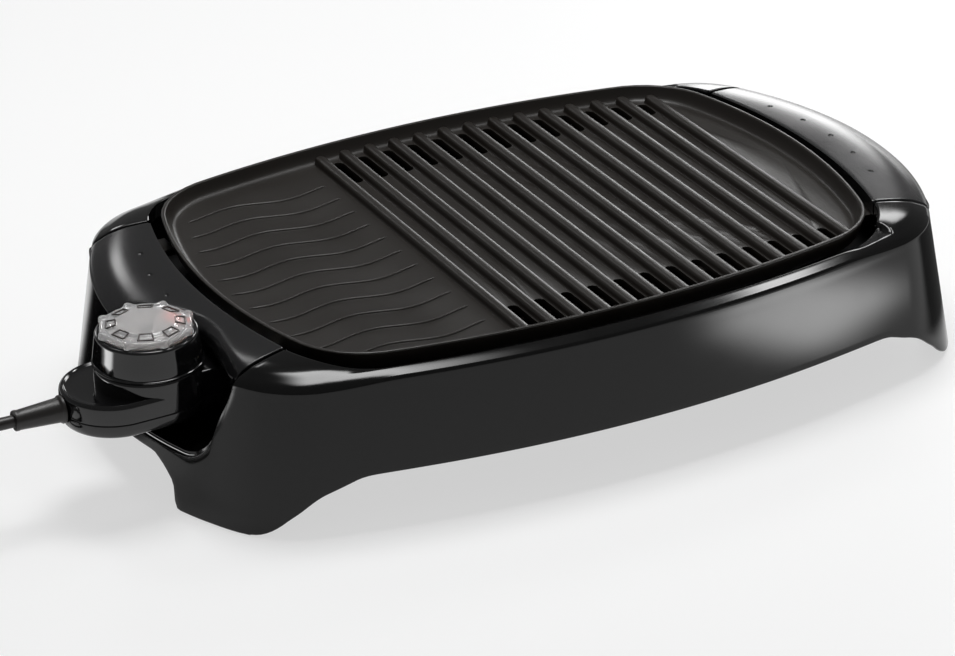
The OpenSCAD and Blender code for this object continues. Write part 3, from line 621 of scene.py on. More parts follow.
# Height against the distance in from the wall, on the long sides and on the ends
SIDE_CROWN = [(0, -3.5), (0.6, -2.9), (1.4, -2.5), (6.4, -0.35), (7.6, -0.05), (9, -0.2), (40, -0.6)]
END_CROWN = [(0, -12.5), (2.5, -9.8), (7, -7.2), (14, -4.0), (24, -1.7), (38, -0.4), (52, 0), (60, 0)]
WALL_LOW, WALL_HIGH = wall(SHOULDER - 7), wall(SHOULDER - 3.5)
SIDE_ARCH = [(0, 39.5), (150, 39.5), (186, 39.3), (196, 39), (203, 38), (209, 36), (217, 33), (223, 31),
             (230, 28), (236, 24), (242, 19), (248, 14), (254, 8), (259, 4), (263, 2), (268, 1)]
END_ARCH = [(0, 32.5), (50, 32.5), (59, 32.3), (67, 29), (72, 26), (77, 22), (82, 17), (84, 10), (87, 2),
            (90, 1)]
# The seam beside a handle: its half depth against the distance from the middle
SEAM = [(330, 119), (265, 119), (245, 117), (226, 113), (200, 113)]
SEAM_OUT, SEAM_IN = SEAM[0][1], SEAM[-1][1]
# The notch for the control: the radius of its corners, its floor, its front side and the
# lip above that, and where the columns beside it and under its corner meet the table
NOTCH_ROUND, NOTCH_FLOOR, NOTCH_SIDE = 24, 40, -110
NOTCH_FEET, CORNER_FEET = -112, -80
LOWER_TOP = 64                  # where the lower wall ends and the lip begins
NOTCH_LIP = [(LOWER_TOP, NOTCH_SIDE), (76, -113), (88, -117), (SEAT, -SEAM_OUT)]


def endness(x):
    """0 over the long sides, 1 over the ends."""
    return ease((abs(x) - 165) / 55)


# The low ledge inside each corner at the right end: its front edge and its end step
LEDGE_TOP = 105.3
LEDGE_FRONT = [(168, 159.6), (176, 160.6), (183, 161.0), (190, 160.2), (196, 158.4), (203, 157.4), (209, 157.2),
               (216, 156.4)]
LEDGE_STEP = [(126, 200), (131, 206), (136, 210.5), (141, 213.6), (148, 215.4), (154, 215.6), (160, 214.5)]


def on_ledge(x, y):
    """1 on the ledge, 0 off it, with a short slope between."""
    if x < 160:
        return 0
    share = 1
    for gap in (look_up(LEDGE_FRONT, x) - abs(y), look_up(LEDGE_STEP, abs(y)) - x):
        share *= ease(gap / 3.0)
    return share


def crown_height(x, y):
    e = endness(x)
    d = max(nearest(WALL_LOW, x, y)[1] - 0.5 * (1 - e), 0)
    z = (SHOULDER + look_up(SIDE_CROWN, d)) * (1 - e) + (CROWN + look_up(END_CROWN, d)) * e
    return z + (LEDGE_TOP - z) * on_ledge(x, y) if z > LEDGE_TOP else z


def crown_point(u, t, drop=0.0):
    low = ring_point(WALL_LOW, u)
    start = ring_point(WALL_HIGH, u).lerp(low, endness(low.x))
    p = start.lerp(nearest(OPENING, low.x, low.y)[0], t)
    return Vector((p.x, p.y, crown_height(p.x, p.y) - drop))


def wall_point(u, z):
    p = ring_point(wall(z), u)
    return Vector((p.x, p.y, z))


def bottom_z(u):
    p = ring_point(wall(10), u)
    if abs(p.x) > 268:
        return look_up(END_ARCH, abs(p.y))
    return look_up(SIDE_ARCH, abs(p.x))


def u_at_y(y, z, left):
    low, high = (1, 3) if left else (-1, 1)
    return solve(lambda u: ring_point(wall(z), u).y, low, high, y)


def seam_line(x):
    """Half depth of the seam beside a handle, at a distance x from the middle."""
    for (x1, y1), (x2, y2) in zip(SEAM, SEAM[1:]):
        if x2 <= x <= x1:
            return y1 + (y2 - y1) * (x1 - x) / (x1 - x2)
    return SEAM_OUT if x > SEAM[0][0] else SEAM_IN


def seam_u(t, left, front):
    """Where the crown's line at t meets the seam beside a handle."""
    def past(u):
        p = crown_point(u, t)
        return p.y - seam_line(abs(p.x))
    low, high = (1.35, 2.0) if left else (0.0, 0.65)
    u = solve(past, low, high, 0)
    return 4 - u if front else u


# Rows of the crown: the share of the way from the wall to the opening, and the drop there
CROWN_ROWS = [(0.0, 0), (0.03, 0), (0.06, 0), (0.1, 0), (0.15, 0), (0.21, 0), (0.28, 0), (0.35, 0), (0.42, 0),
              (0.5, 0), (0.58, 0), (0.66, 0), (0.74, 0), (0.82, 0), (0.9, 0), (0.95, 0), (0.985, 0.35),
              (1.0, 1.6), (1.0, 5.0), (1.0, 11.0)]
LOWER_ROWS = 5
UPPER_HEIGHTS = [LOWER_TOP, 76, 88]
PER_ROW = 2                     # points for each row above the lower wall
BLEND = 0.34                    # how far from a seam, in u, the crown's columns still follow it


def seam_shift(left, front):
    """How far u moves from its wall value to follow a seam, for each crown row."""
    start = u_at_y(-SEAM_OUT if front else SEAM_OUT, SEAT, left) % 4
    return start, [seam_u(t, left, front) % 4 - start for t, drop in CROWN_ROWS]


SEAMS = {(left, front): seam_shift(left, front) for left in (False, True) for front in (False, True)}
BY_NOTCH = (True, True)


def shell_column(u, near=None, weight=0.0, lip=0.0):
    """Points of one column: lower wall, upper wall, crown and lip.

    near names the seam whose line the column follows by weight; lip is how much
    it follows the edge of the notch below. Without near, it ends at the seat.
    """
    def on_wall(z):
        along = u
        if lip and z > 1:
            low = NOTCH_FEET + (NOTCH_SIDE - NOTCH_FEET) * z / LOWER_TOP
            y = low if z <= LOWER_TOP else look_up(NOTCH_LIP, z)
            along += (u_at_y(y, z, True) - SEAMS[BY_NOTCH][0]) * lip
        return wall_point(along, z)
    foot = bottom_z(u)
    points = [on_wall(foot + (LOWER_TOP - foot) * k / LOWER_ROWS) for k in range(LOWER_ROWS)]
    top = [on_wall(z) for z in UPPER_HEIGHTS]
    if near is None:
        upper = smooth_line(top + [on_wall(SEAT - 4), on_wall(SEAT)], PER_ROW)
        return points + upper + [upper[-1]] * (PER_ROW * (len(CROWN_ROWS) - 1))
    top.append(on_wall(SEAT - 3))
    for (t, drop), shift in zip(CROWN_ROWS, SEAMS[near][1]):
        top.append(crown_point(u + shift * weight, t, drop))
    return points + smooth_line(top, PER_ROW)


def stretch(start, stop):
    """u values from start to stop, closer together where an arch ends."""
    out, u = [start], start
    while True:
        p = ring_point(wall(10), u)
        steep = 190 < abs(p.x) < 270 or (abs(p.x) > 270 and 56 < abs(p.y) < 92)
        wide = 1.8 if 196 < p.x < 272 and abs(p.y) > 100 else 3.2 if steep else 8.0
        d = (ring_point(wall(10), u + wide / 1000) - p).length
        u += wide / 1000 * wide / max(d, 1e-6)
        if u > stop - 0.0035:
            return out + [stop]
        out.append(u)


def crown_columns(first, last, start, stop):
    """Columns from one seam to the next, each following the seam it is near."""
    columns = []
    for u in stretch(start, stop):
        from_first, from_last = 1 - (u - start) / BLEND, 1 - (stop - u) / BLEND
        near, pull = (first, ease(from_first)) if from_first > 0 else (last, ease(from_last))
        columns.append(shell_column(u, near, pull, pull if near == BY_NOTCH else 0.0))
    return columns


def notch_columns(rows):
    """Columns under the notch, which fan out along its floor and rounded corners."""
    path = []
    for k in range(1, 9):
        a = math.pi / 2 * k / 8
        path.append((-NOTCH_ROUND + NOTCH_ROUND * math.cos(a),
                     NOTCH_FLOOR + NOTCH_ROUND - NOTCH_ROUND * math.sin(a),
                     -NOTCH_ROUND * k / 8))
    for k in range(1, 13):
        f = k / 12
        path.append((-NOTCH_ROUND + (NOTCH_SIDE + 2 * NOTCH_ROUND) * f, NOTCH_FLOOR,
                     -NOTCH_ROUND + (CORNER_FEET + NOTCH_ROUND) * f))
    for k in range(1, 12):
        a = math.pi / 2 * k / 12
        path.append((NOTCH_SIDE + NOTCH_ROUND - NOTCH_ROUND * math.sin(a),
                     NOTCH_FLOOR + NOTCH_ROUND - NOTCH_ROUND * math.cos(a),
                     CORNER_FEET + (NOTCH_FEET - CORNER_FEET) * k / 12))
    columns = []
    for y, z, foot_y in path:
        foot = look_up(END_ARCH, abs(foot_y))
        u_top, u_foot = u_at_y(y, z, True), u_at_y(foot_y, foot, True)
        column = [wall_point(u_foot + (u_top - u_foot) * f, foot + (z - foot) * f)
                  for f in (k / LOWER_ROWS for k in range(LOWER_ROWS + 1))]
        columns.append(column + [column[-1]] * (rows - len(column)))
    return columns


def shell_columns():
    """Columns from the front left seam, round by the front, back to the notch."""
    columns, kinds = [], []

    def extend(kind, more):
        columns.extend(more)
        kinds.extend([kind] * len(more))

    corner = {key: start for key, (start, shifts) in SEAMS.items()}
    front_right, back_right, back_left = (False, True), (False, False), (True, False)
    extend("crown", crown_columns(BY_NOTCH, front_right, corner[BY_NOTCH], corner[front_right]))
    right_end = stretch(corner[front_right] - 4, corner[back_right])[1:-1]
    extend("wall", [shell_column(u) for u in right_end])
    extend("crown", crown_columns(back_right, back_left, corner[back_right], corner[back_left]))
    left_end = stretch(corner[back_left], u_at_y(0, 32.5, True))[1:]
    extend("wall", [shell_column(u) for u in left_end])
    extend("notch", notch_columns(len(columns[0])))
    return columns, kinds


def make_shell():
    columns, kinds = shell_columns()
    count = len(columns)
    limits = {"crown": len(columns[0]), "wall": LOWER_ROWS + PER_ROW * (len(UPPER_HEIGHTS) + 1),
              "notch": LOWER_ROWS}

    def keep(i, j):
        a, b = kinds[i % count], kinds[(i + 1) % count]
        # the column at a seam belongs to the crown beside it and to the wall below
        return j < min(limits[a], limits[b])
    placed = [[at(*p) for p in column] for column in columns]
    shell = sheet_of("base_moulding", placed, keep, closed=True)
    modify(shell, "SOLIDIFY", thickness=3 * MM, offset=-1, use_even_offset=True, use_rim=True)
    modify(shell, "BEVEL", width=0.9 * MM, segments=3, limit_method="ANGLE", angle_limit=math.radians(50),
           use_clamp_overlap=False, miter_outer="MITER_ARC")
    return shell


# ---------------------------------------------------------------- pocket behind the control
POCKET_BACK, NECK_HALF = -247, 27


def make_pocket():
    """The recess that the control plugs into: its floor and sides follow the notch's edge."""
    r, floor, top = NOTCH_ROUND, NOTCH_FLOOR, SEAT - 8
    quarter = [math.pi / 2 * k / 8 for k in range(9)]
    path = [(0, top), (0, 76), (0, floor + r)]
    path += [(-r + r * math.cos(a), floor + r - r * math.sin(a)) for a in quarter[1:]]
    path += [(-40, floor), (-55, floor), (-70, floor)]
    path += [(NOTCH_SIDE + r - r * math.sin(a), floor + r - r * math.cos(a)) for a in quarter]
    path += [(-113, 76), (-116, 85), (-117, top)]
    columns = []
    for y, z in path:
        start = -edge_x(wall(z), y) + 2.4
        columns.append([at(start + (POCKET_BACK - start) * f, y, z) for f in (0, 0.34, 0.68, 1)])
    sides = sheet_of("pocket_sides", columns)
    modify(sides, "SOLIDIFY", thickness=2.2 * MM, offset=1)
    back = box_piece("pocket_back", (POCKET_BACK, -118, 38), (POCKET_BACK + 2.2, 2.2, top), bevel=0.4,
                     segments=2)
    slot_box = box_piece("slot_box", (POCKET_BACK - 4, KNOB.y - NECK_HALF, 58),
                         (POCKET_BACK + 6, KNOB.y + NECK_HALF, 130), bevel=3)
    cut(back, slot_box)
    return sides, back


def make_bosses():
    """Screw bosses inside the base: four near the corners, and one at the middle of each long side."""
    spots = [(sx * 238, sy * 128, 7, 106) for sx in (-1, 1) for sy in (-1, 1)]
    spots += [(0, sy * 181, 6, 90.5) for sy in (-1, 1)]
    return [turned("boss", [(0, top), (r, top), (r, 57.4), (1.8, 57.4), (1.8, 72), (0, 72)], Vector((x, y, 0)),
                   24)
            for x, y, r, top in spots]


# ---------------------------------------------------------------- handles
# The gap beside a handle, how far its top rolls down there, and its edge's radius over the notch
SEAM_GAP, ROLL_OFF, ROUND_OVER = 2.6, 3.4, 9.0
DIMPLES = {True: [(-250, 67), (-257.4, 33.5), (-260, -1), (-257, -35), (-254, -66)],
           False: [(250, 67), (257.4, 33.5), (260, 0), (257.4, -33.5), (251, -67)]}
NOTCH_EDGE = [(-289, 6), (-280, -5), (-271, -16), (-263, -30), (-258, -44), (-256.6, -56), (-257.5, -70),
              (-260, -85), (-262, -100), (-263, -110), (-264.6, 0.8 - SEAM_OUT)]
HANDLE_SHARES = [0, 0.012, 0.03, 0.055, 0.09, 0.13, 0.18, 0.24, 0.32, 0.42, 0.52, 0.62, 0.72, 0.81, 0.88, 0.94,
                 0.975]
# Which of 1001 points from back to front carry a column: closer together at the seams
LAST_STEP = 1000
HANDLE_STEPS = [0, 1, 2, 4, 6, 9, 13, 18, *range(25, 980, 11)]
HANDLE_STEPS += [LAST_STEP - k for k in (18, 13, 9, 6, 4, 2, 1, 0)]


def handle_edge(side, spec, half):
    """81 points of an outline at one end, from half at the back to -half at the front."""
    return [(side * edge_x(spec, y), y) for y in [half - half * 2 * k / 80 for k in range(81)]]


def sampled(line):
    points = spaced([Vector((x, y, 0)) for x, y in line], LAST_STEP + 1)
    return [points[k] for k in HANDLE_STEPS]


def end_roll(along):
    """How far a handle's top rolls down towards its seams."""
    return ROLL_OFF * (1 - math.sqrt(1 - max(1 - along / 13, 0) ** 2))


def make_handle(left):
    side = -1 if left else 1
    far = SEAM_OUT - SEAM_GAP
    if left:
        outer = [(-edge_x(WALL_LOW, y), y) for y in [far - k * 3 for k in range(34)]] + NOTCH_EDGE
    else:
        outer = handle_edge(side, WALL_LOW, far)
    inner = handle_edge(side, OPENING, SEAM_IN - SEAM_GAP)
    columns = []
    for step, start, end in zip(HANDLE_STEPS, sampled(outer), sampled(inner)):
        notched = ease((12 - start.y) / 22) if left else 0
        width = (end - start).length
        along = min(step, LAST_STEP - step)
        seam_pull = max(1 - along / 70, 0) ** 2
        column = []
        for share in HANDLE_SHARES:
            p = start.lerp(end, share)
            p.y += (math.copysign(seam_line(abs(p.x)) - SEAM_GAP, p.y) - p.y) * seam_pull
            z = crown_height(p.x, p.y)
            inward = width * share
            if notched and inward < ROUND_OVER:
                z -= notched * ROUND_OVER * (1 - math.sqrt(1 - (1 - inward / ROUND_OVER) ** 2))
            z -= end_roll(along)
            column.append((p.x, p.y, max(z, SEAT + 0.3)))
        column.insert(0, (column[0][0], column[0][1], SEAT + 0.3))
        z = crown_height(end.x, end.y) - end_roll(along)
        column += [(end.x - side * 0.3, end.y, z - 0.3), (end.x, end.y, z - 1.5), (end.x, end.y, z - 5),
                   (end.x, end.y, z - 11)]
        columns.append([at(*p) for p in column])
    if not left:
        columns.reverse()
    name = "left_grip" if left else "right_grip"
    grip = sheet_of(name, columns)
    modify(grip, "SOLIDIFY", thickness=2.4 * MM, offset=-1)
    for x, y in DIMPLES[left]:
        cut(grip, settle(made("dimple", bpy.ops.mesh.primitive_uv_sphere_add, segments=24, ring_count=16,
                              radius=2.5 * MM, location=at(x, y, crown_height(x, y) + 1.3))))
    place(grip, satin_pp, "plate", "handle_satin", "left_handle" if left else "right_handle")


# ---------------------------------------------------------------- grill plate
FLOOR, UNDER, RIM = 103.0, 98.0, 113.5
RIBS = [188 - 20 * k for k in range(14)]
RIB_REACH = grown(PLATE, -4.6)


def make_rib(x):
    """A bar with a rounded top, flared foot and rounded ends."""
    half = edge_y(RIB_REACH, x)
    section = [(-1.14, -0.6), (-1.1, 0.03), (-1.02, 0.28), (-0.94, 0.9), (-0.88, 2.2), (-0.8, 3.4),
               (-0.66, 4.3), (-0.42, 4.85), (-0.15, 5.0)]
    section += [(-a, h) for a, h in reversed(section)]
    stations = []
    for k in range(9):
        a = math.pi / 2 * (k + 0.35) / 9.35
        stations.append((-half + 5 - 5 * math.cos(a), math.sin(a)))
    stations += [(-half + 5, 1.0), (-half + 20, 1.0), (-half * 0.5, 1.0), (0, 1.0)]
    stations += [(-y, s) for y, s in reversed(stations[:-1])]
    columns = []
    for a, h in section:
        columns.append([at(x + a * 5 * s, y, FLOOR + (h * min(1, s ** 0.45 + 0.02) if h > 0 else h))
                        for y, s in stations])
    return tidy_mesh(close_ends(sheet_of("rib", columns, closed=True)))


def make_wave(y):
    """A thin raised line that waves along the flat end."""
    start, stop = -edge_x(grown(PLATE, -16), y), -86
    section = [(-1.5, -0.4), (-1.25, 0.05), (-0.85, 0.55), (-0.4, 1.0), (0, 1.12), (0.4, 1.0), (0.85, 0.55),
               (1.25, 0.05), (1.5, -0.4)]
    columns = [[] for _ in section]
    count = 46
    for k in range(count + 1):
        x = start + (stop - start) * k / count
        middle = y - 4 * math.cos((x + 200) * 2 * math.pi / 80)
        end = min(1, math.sqrt(max(min(k, count - k), 0.06) / 1.6))
        for column, (a, h) in zip(columns, section):
            column.append(at(x, middle + a * end, FLOOR + (h * end if h > 0 else h)))
    return tidy_mesh(close_ends(sheet_of("wave", columns, closed=True)))


SLOT_END = 4.25                 # radius of a drain slot's ends


def make_slot(x, side):
    """A cutter for one drain slot, between two ribs at the back or the front of the plate."""
    near, far = 114, edge_y(grown(PLATE, -13), x) - 1.5
    y, straight = side * (near + far) / 2, (far - near) / 2 - SLOT_END
    path = [(x + SLOT_END * math.cos(a), y + math.copysign(straight, math.sin(a)) + SLOT_END * math.sin(a))
            for a in angles(24, 0.5)]
    return close_ends(sheet_of("slot", [[at(px, py, 96), at(px, py, 104.5)] for px, py in path], closed=True))


def make_plate():
    profile = smooth_line([(-16, UNDER), (-9, UNDER), (-6, 98.5), (-4, 100.3), (-2.0, 106), (-0.3, 111.6),
                           (0, 112.7), (-0.35, 113.25), (-1.0, RIM), (-2.0, RIM), (-2.7, 113.2), (-3.2, 112.3),
                           (-4.6, 108.8), (-6.4, 105.6), (-8.4, 103.8), (-11, 103.1), (-14, FLOOR)], 2)
    columns = []
    for u in round_outline(PLATE, 36):
        spots = [(ring_point(grown(PLATE, d), u), z) for d, z in profile]
        columns.append([at(p.x, p.y, z) for p, z in spots])
    plate = tidy_mesh(close_ends(sheet_of("cast_grill_plate", columns, closed=True)))
    slots = [make_slot((x1 + x2) / 2, side) for x1, x2 in zip(RIBS, RIBS[1:]) for side in (-1, 1)]
    cut(plate, tidy_mesh(join("slots", *slots)))
    modify(plate, "BEVEL", width=0.5 * MM, segments=2, limit_method="ANGLE", angle_limit=math.radians(60))
    ribs = [make_rib(x) for x in RIBS]
    waves = [make_wave(24.5 * k - 6) for k in range(-5, 6)]
    corners = [(sx, sy) for sx in (-1, 1) for sy in (-1, 1)]
    pads = [box_piece("pad", (sx * 80 - 7, sy * 108 - (16.5 if sy < 0 else 4), 91.6),
                      (sx * 80 + 7, sy * 108 + (4 if sy < 0 else 16.5), 98.5), 0.8) for sx, sy in corners]
    ears = [box_piece("ear", (sx * 236 - 20, sy * 96 - 10, SEAT - 5), (sx * 236 + 20, sy * 96 + 10, SEAT), 1)
            for sx, sy in corners]
    whole = join("cast_grill_plate", plate, *ribs, *waves, *pads, *ears)
    place(whole, nonstick, "plate", "nonstick", "grill_plate")


# ---------------------------------------------------------------- element
def make_element():
    z, pin_z, bend, leg = 88.0, 80.0, 20, 12
    loop_x, loop_y = 168, 108
    leg_end = loop_x + leg + 8

    def turn(x, y, r, a0, a1):
        return [(x + r * math.cos(math.radians(a0 + (a1 - a0) * k / 8)),
                 y + r * math.sin(math.radians(a0 + (a1 - a0) * k / 8)), z) for k in range(9)]

    def end_leg(y):
        return [(-leg_end, y, z), (-leg_end - 6, y, z - 1), (-leg_end - 14, y, pin_z + 1),
                (-leg_end - 20, y, pin_z), (-leg_end - 34, y, pin_z)]
    front, back = KNOB.y - PIN_SIDE, KNOB.y + PIN_SIDE
    cx, cy = loop_x - bend, loop_y - bend
    route = (list(reversed(end_leg(front))) + turn(-loop_x - leg, front - leg, leg, 90, 0)
             + turn(-cx, -cy, bend, 180, 270) + turn(cx, -cy, bend, 270, 360) + turn(cx, cy, bend, 0, 90)
             + turn(-cx, cy, bend, 90, 180) + turn(-loop_x - leg, back + leg, leg, 0, -90) + end_leg(back))
    rod = tube("element_rod", [at(*p) for p in route], 3.5, 18)
    place(rod, sheathed, "plate", "element_steel", "heating_element")


# ---------------------------------------------------------------- control
def case_ring(inset, z, steps=72):
    """The housing's outline: two round ends of nearly the same size."""
    ring = []
    for a in angles(steps, 0.5):
        centre, r = (-24.5, 36.5) if math.cos(a) < -0.02 else (0, 36)
        ring.append(at(KNOB.x + centre + (r - inset) * math.cos(a), KNOB.y + (r - inset) * math.sin(a), z))
    return ring


def case_half(name, profile):
    rings = [case_ring(d, z) for d, z in profile]
    return tidy_mesh(close_ends(sheet_of(name, list(zip(*rings)), closed=True)))


def make_case():
    upper = case_half("case_upper", [(2.5, 73.2), (0.5, 73.2), (0.1, 73.5), (0, 74.2), (0, 79), (0.15, 83.6),
                                     (0.45, 85.2), (1.2, 86.4), (2.1, 86.95), (2.9, 86.85), (3.6, 86.4),
                                     (4.4, 85.8), (5.6, 85.5), (9, 85.35), (16, 85.3), (24, 85.3)])
    drum_base = turned("drum_base", [(0, 74), (35.2, 74), (35.9, 74.6), (36, 76), (36, 93.6), (35.8, 95),
                                     (35.2, 96.1), (34.2, 96.7), (30, 96.8), (0, 96.8)], KNOB)
    neck = box_piece("neck_upper", (KNOB.x + 5, KNOB.y - 23, 73.2), (KNOB.x + 56, KNOB.y + 23, 91), 1.6)
    low_neck = box_piece("neck_lower", (KNOB.x + 5, KNOB.y - 23, 67), (KNOB.x + 56, KNOB.y + 23, 72.8), 1.2)
    lower = case_half("case_lower", [(24, 62), (9, 62), (6.2, 62.15), (3.6, 62.9), (1.7, 64.2), (0.6, 66.2),
                                     (0.1, 69), (0, 71.8), (0.1, 72.4), (0.5, 72.8), (2.5, 72.8)])
    for y, r in ((-PIN_SIDE, 5.1), (PIN_SIDE, 5.1), (0, 2.95)):
        cut(neck, round_bar("hole", r, 44, at(KNOB.x + 56, KNOB.y + y, 80), 32, (0, math.pi / 2, 0)))
    for x, y in ((-40, 20), (-40, -20), (2, 26.4), (2, -26.4)):
        cut(lower, round_bar("screw_well", 3.2, 6.4, at(KNOB.x + x, KNOB.y + y, 62), 28))
    place(join("control_case_top", upper, drum_base, neck), control_abs, "control", "shell_gloss",
          "control_upper_housing")
    place(join("control_case_bottom", lower, low_neck), control_abs, "control", "shell_gloss",
          "control_lower_housing")


def make_drum():
    drum = turned("dial_drum", [(33.6, 97.0), (36.2, 97.0), (36.7, 97.2), (36.9, 97.7), (36.75, 98.2),
                                (36.1, 98.5), (35.9, 98.8), (36.1, 99.2), (36.1, 100.5), (35.3, 106),
                                (34.5, 111.5), (33.9, 116.4), (33.75, 117.5), (33.3, 118.2), (32.6, 118.5),
                                (30.4, 118.5), (29.7, 118.3), (29.5, 117.7), (29.5, 116.4), (31.4, 116),
                                (33.6, 97.0)], KNOB, 128)
    place(drum, control_abs, "control", "shell_gloss", "dial_tower")


TOP = 118.9                     # underside of the dial


def make_dial():
    """The clear cap with round lobes on its edge and printed window frames, its disc and the lamp."""
    lobes = 8
    columns = []
    for a in angles(192):
        lobe = ((math.cos(lobes * a) + 1) / 2) ** 5
        edge = 30.2 + 3.0 * lobe
        top = TOP + 4.3
        profile = [(0, TOP + 6.9), (5, TOP + 6.8), (11, TOP + 6.6), (16, TOP + 6.3), (19, TOP + 6.1),
                   (20.4, TOP + 5.7), (21.2, TOP + 5.0), (22, TOP + 4.5), (23.5, top), (26 - lobe, top),
                   (27.6 - 1.2 * lobe, top + 0.5 * lobe), (edge - 2.4, top + 1.2 * lobe),
                   (edge - 1.2, top - 0.1 + 1.1 * lobe), (edge - 0.4, top - 0.7 + 0.7 * lobe),
                   (edge, top - 1.8 + 0.4 * lobe), (edge, TOP + 1.2), (edge - 0.3, TOP + 0.5),
                   (edge - 1, TOP + 0.1), (edge - 2.4, TOP), (27, TOP), (26.8, TOP + 0.4), (26.4, TOP + 2.6),
                   (25.8, TOP + 3.0), (20, TOP + 3.3), (10, TOP + 4.2), (0, TOP + 4.6)]
        columns.append(spun(profile, KNOB, a))
    cap = tidy_mesh(sheet_of("clear_dial", columns, closed=True))
    frames = []
    outline = [(25.6, -5.2), (25.6, 5.2), (19.4, 4.0), (19.4, -4.0)]
    for a in angles(lobes, 0.5):
        cos, sin = math.cos(a), math.sin(a)
        corners = [Vector((r * cos - w * sin, r * sin + w * cos)) for r, w in outline]
        path = spaced([at(KNOB.x + c.x, KNOB.y + c.y, TOP + lift)
                       for c, lift in zip(corners + corners[:1], (4.75, 4.75, 6.1, 6.1, 4.75))], 29)
        frames.append(tube("window_frame", path, 0.5, 8))
        frames[-1].data.materials.append(window_ink)
    cap.data.materials.append(acrylic)
    cap = join("clear_dial", cap, *frames)
    place(cap, acrylic, "dial", "clear_dial", "dial_cap")
    disc = turned("dial_disc", [(5.1, 116.6), (27.2, 116.6), (27.4, 116.8), (27.4, 117.9), (27.2, 118.1),
                                (5.1, 118.1), (5.1, 116.6)], KNOB, 96)
    place(disc, pale_disc, "dial", "pale_insert", "dial_insert")
    lamp = turned("lamp_lens", [(0, 97), (2.95, 97), (2.95, 107), (2.8, 108.4), (2.2, 109.6), (1.2, 110.4),
                                (0, 110.7)],
                  KNOB + Vector((22, -4, 0)), 32)
    place(lamp, lamp_glow, "control", "lamp", "indicator_lamp")
    # painted glow of the lamp on the disc, as emission
    paint_lamp_glow(pale_disc, lamp, at(-270, -48, 118), 15, "#ff5020", 0.9)


def make_relief():
    """Tapered rubber sleeve where the lead leaves the housing."""
    profile = [(0, -8), (5.6, -8), (5.6, 0), (9.2, 0), (9.5, 0.4), (9.5, 1.8), (9.1, 2.4), (8.5, 3.0), (8.3, 4),
               (6.7, 30.6), (6.8, 31.2), (6.95, 31.8), (6.95, 33.2), (6.7, 33.8), (6.2, 34), (4.5, 34), (0, 34)]
    columns = [[at(-358 - x, KNOB.y + r * math.cos(a), LEAD_HEIGHT + r * math.sin(a)) for r, x in profile]
               for a in angles(48)]
    sleeve = tidy_mesh(sheet_of("lead_sleeve", columns, closed=True))
    place(sleeve, sheath, "control", "cord_rubber", "strain_relief")


shell = make_shell()
place(join("base_moulding", shell, *make_pocket(), *make_bosses()), gloss_abs, "base", "shell_gloss",
      "base_shell")
make_handle(True)
make_handle(False)
make_plate()
make_element()
make_case()
make_drum()
make_dial()
make_relief()

# ---------------------------------------------------------------- scene
FLOOR_SIZE = 24                 # metres
FLOOR_GLOW, SKY_GLOW = 0.6, 0.17
CARD_HEIGHT = 1.5


def make_floor():
    floor = made("studio_floor", bpy.ops.mesh.primitive_plane_add, size=1)
    for v in floor.data.vertices:
        v.co = Vector((v.co.x * FLOOR_SIZE, v.co.y * FLOOR_SIZE, 0))
    paper, tree, shader = new_material("white_studio_floor", "#f6f6f6")
    shader.inputs["Roughness"].default_value = 0.4
    shader.inputs["Specular IOR Level"].default_value = 0.2
    seen = add(tree, "ShaderNodeLightPath")
    either = add(tree, "ShaderNodeMath", {0: (seen, "Is Camera Ray"), 1: (seen, "Is Glossy Ray")},
                 operation="MAXIMUM")
    any_way = add(tree, "ShaderNodeMath", {0: (either, "Value"), 1: (seen, "Is Transmission Ray")},
                  operation="MAXIMUM")
    share = add(tree, "ShaderNodeMath", {0: (any_way, "Value"), 1: FLOOR_GLOW}, operation="MULTIPLY")
    white = add(tree, "ShaderNodeEmission", {"Color": linear("#ffffff"), "Strength": 1.0})
    both = add(tree, "ShaderNodeMixShader", {"Fac": (share, "Value"), 1: (shader, "BSDF"),
                                             2: (white, "Emission")})
    tree.links.new(both.outputs["Shader"], tree.nodes["Material Output"].inputs["Surface"])
    floor.data.materials.append(paper)


def make_light(name, spot, aim, wide, high, brightness, *fade):
    """A softbox of that brightness that fades towards its edges; the camera doesn't see it."""
    lamp = made(name, bpy.ops.object.light_add, type="AREA")
    lamp.data.shape = "RECTANGLE"
    lamp.data.size, lamp.data.size_y = wide, high
    lamp.data.energy = brightness * math.pi * wide * high
    lamp.visible_camera = False
    start, goal = at(*spot), at(*aim)
    lamp.matrix_world = Matrix.Translation(start) @ (start - goal).to_track_quat("Z", "Y").to_matrix().to_4x4()
    lamp.data.use_nodes = True
    tree = lamp.data.node_tree
    place_of = add(tree, "ShaderNodeNewGeometry")
    strength = feathered(tree, (place_of, "Parametric"), (0.5, 0.5), (0.5, 0.5), fade)
    tree.links.new(strength.outputs[0], tree.nodes["Emission"].inputs["Strength"])


def feathered(tree, source, middle, half, fade):
    """1 within a rectangle, falling smoothly to 0 at its edges."""
    across = add(tree, "ShaderNodeSeparateXYZ", {"Vector": source})
    sides = []
    for k, axis in enumerate("XY"):
        off = add(tree, "ShaderNodeMath", {0: (across, axis), 1: middle[k]}, operation="SUBTRACT")
        away = add(tree, "ShaderNodeMath", {0: (off, "Value")}, operation="ABSOLUTE")
        sides.append(add(tree, "ShaderNodeMapRange", {"Value": (away, "Value"), "From Min": half[k],
                                                      "From Max": half[k] - fade[k]},
                         interpolation_type="SMOOTHERSTEP"))
    return add(tree, "ShaderNodeMath", {0: (sides[0], "Result"), 1: (sides[1], "Result")}, operation="MULTIPLY")


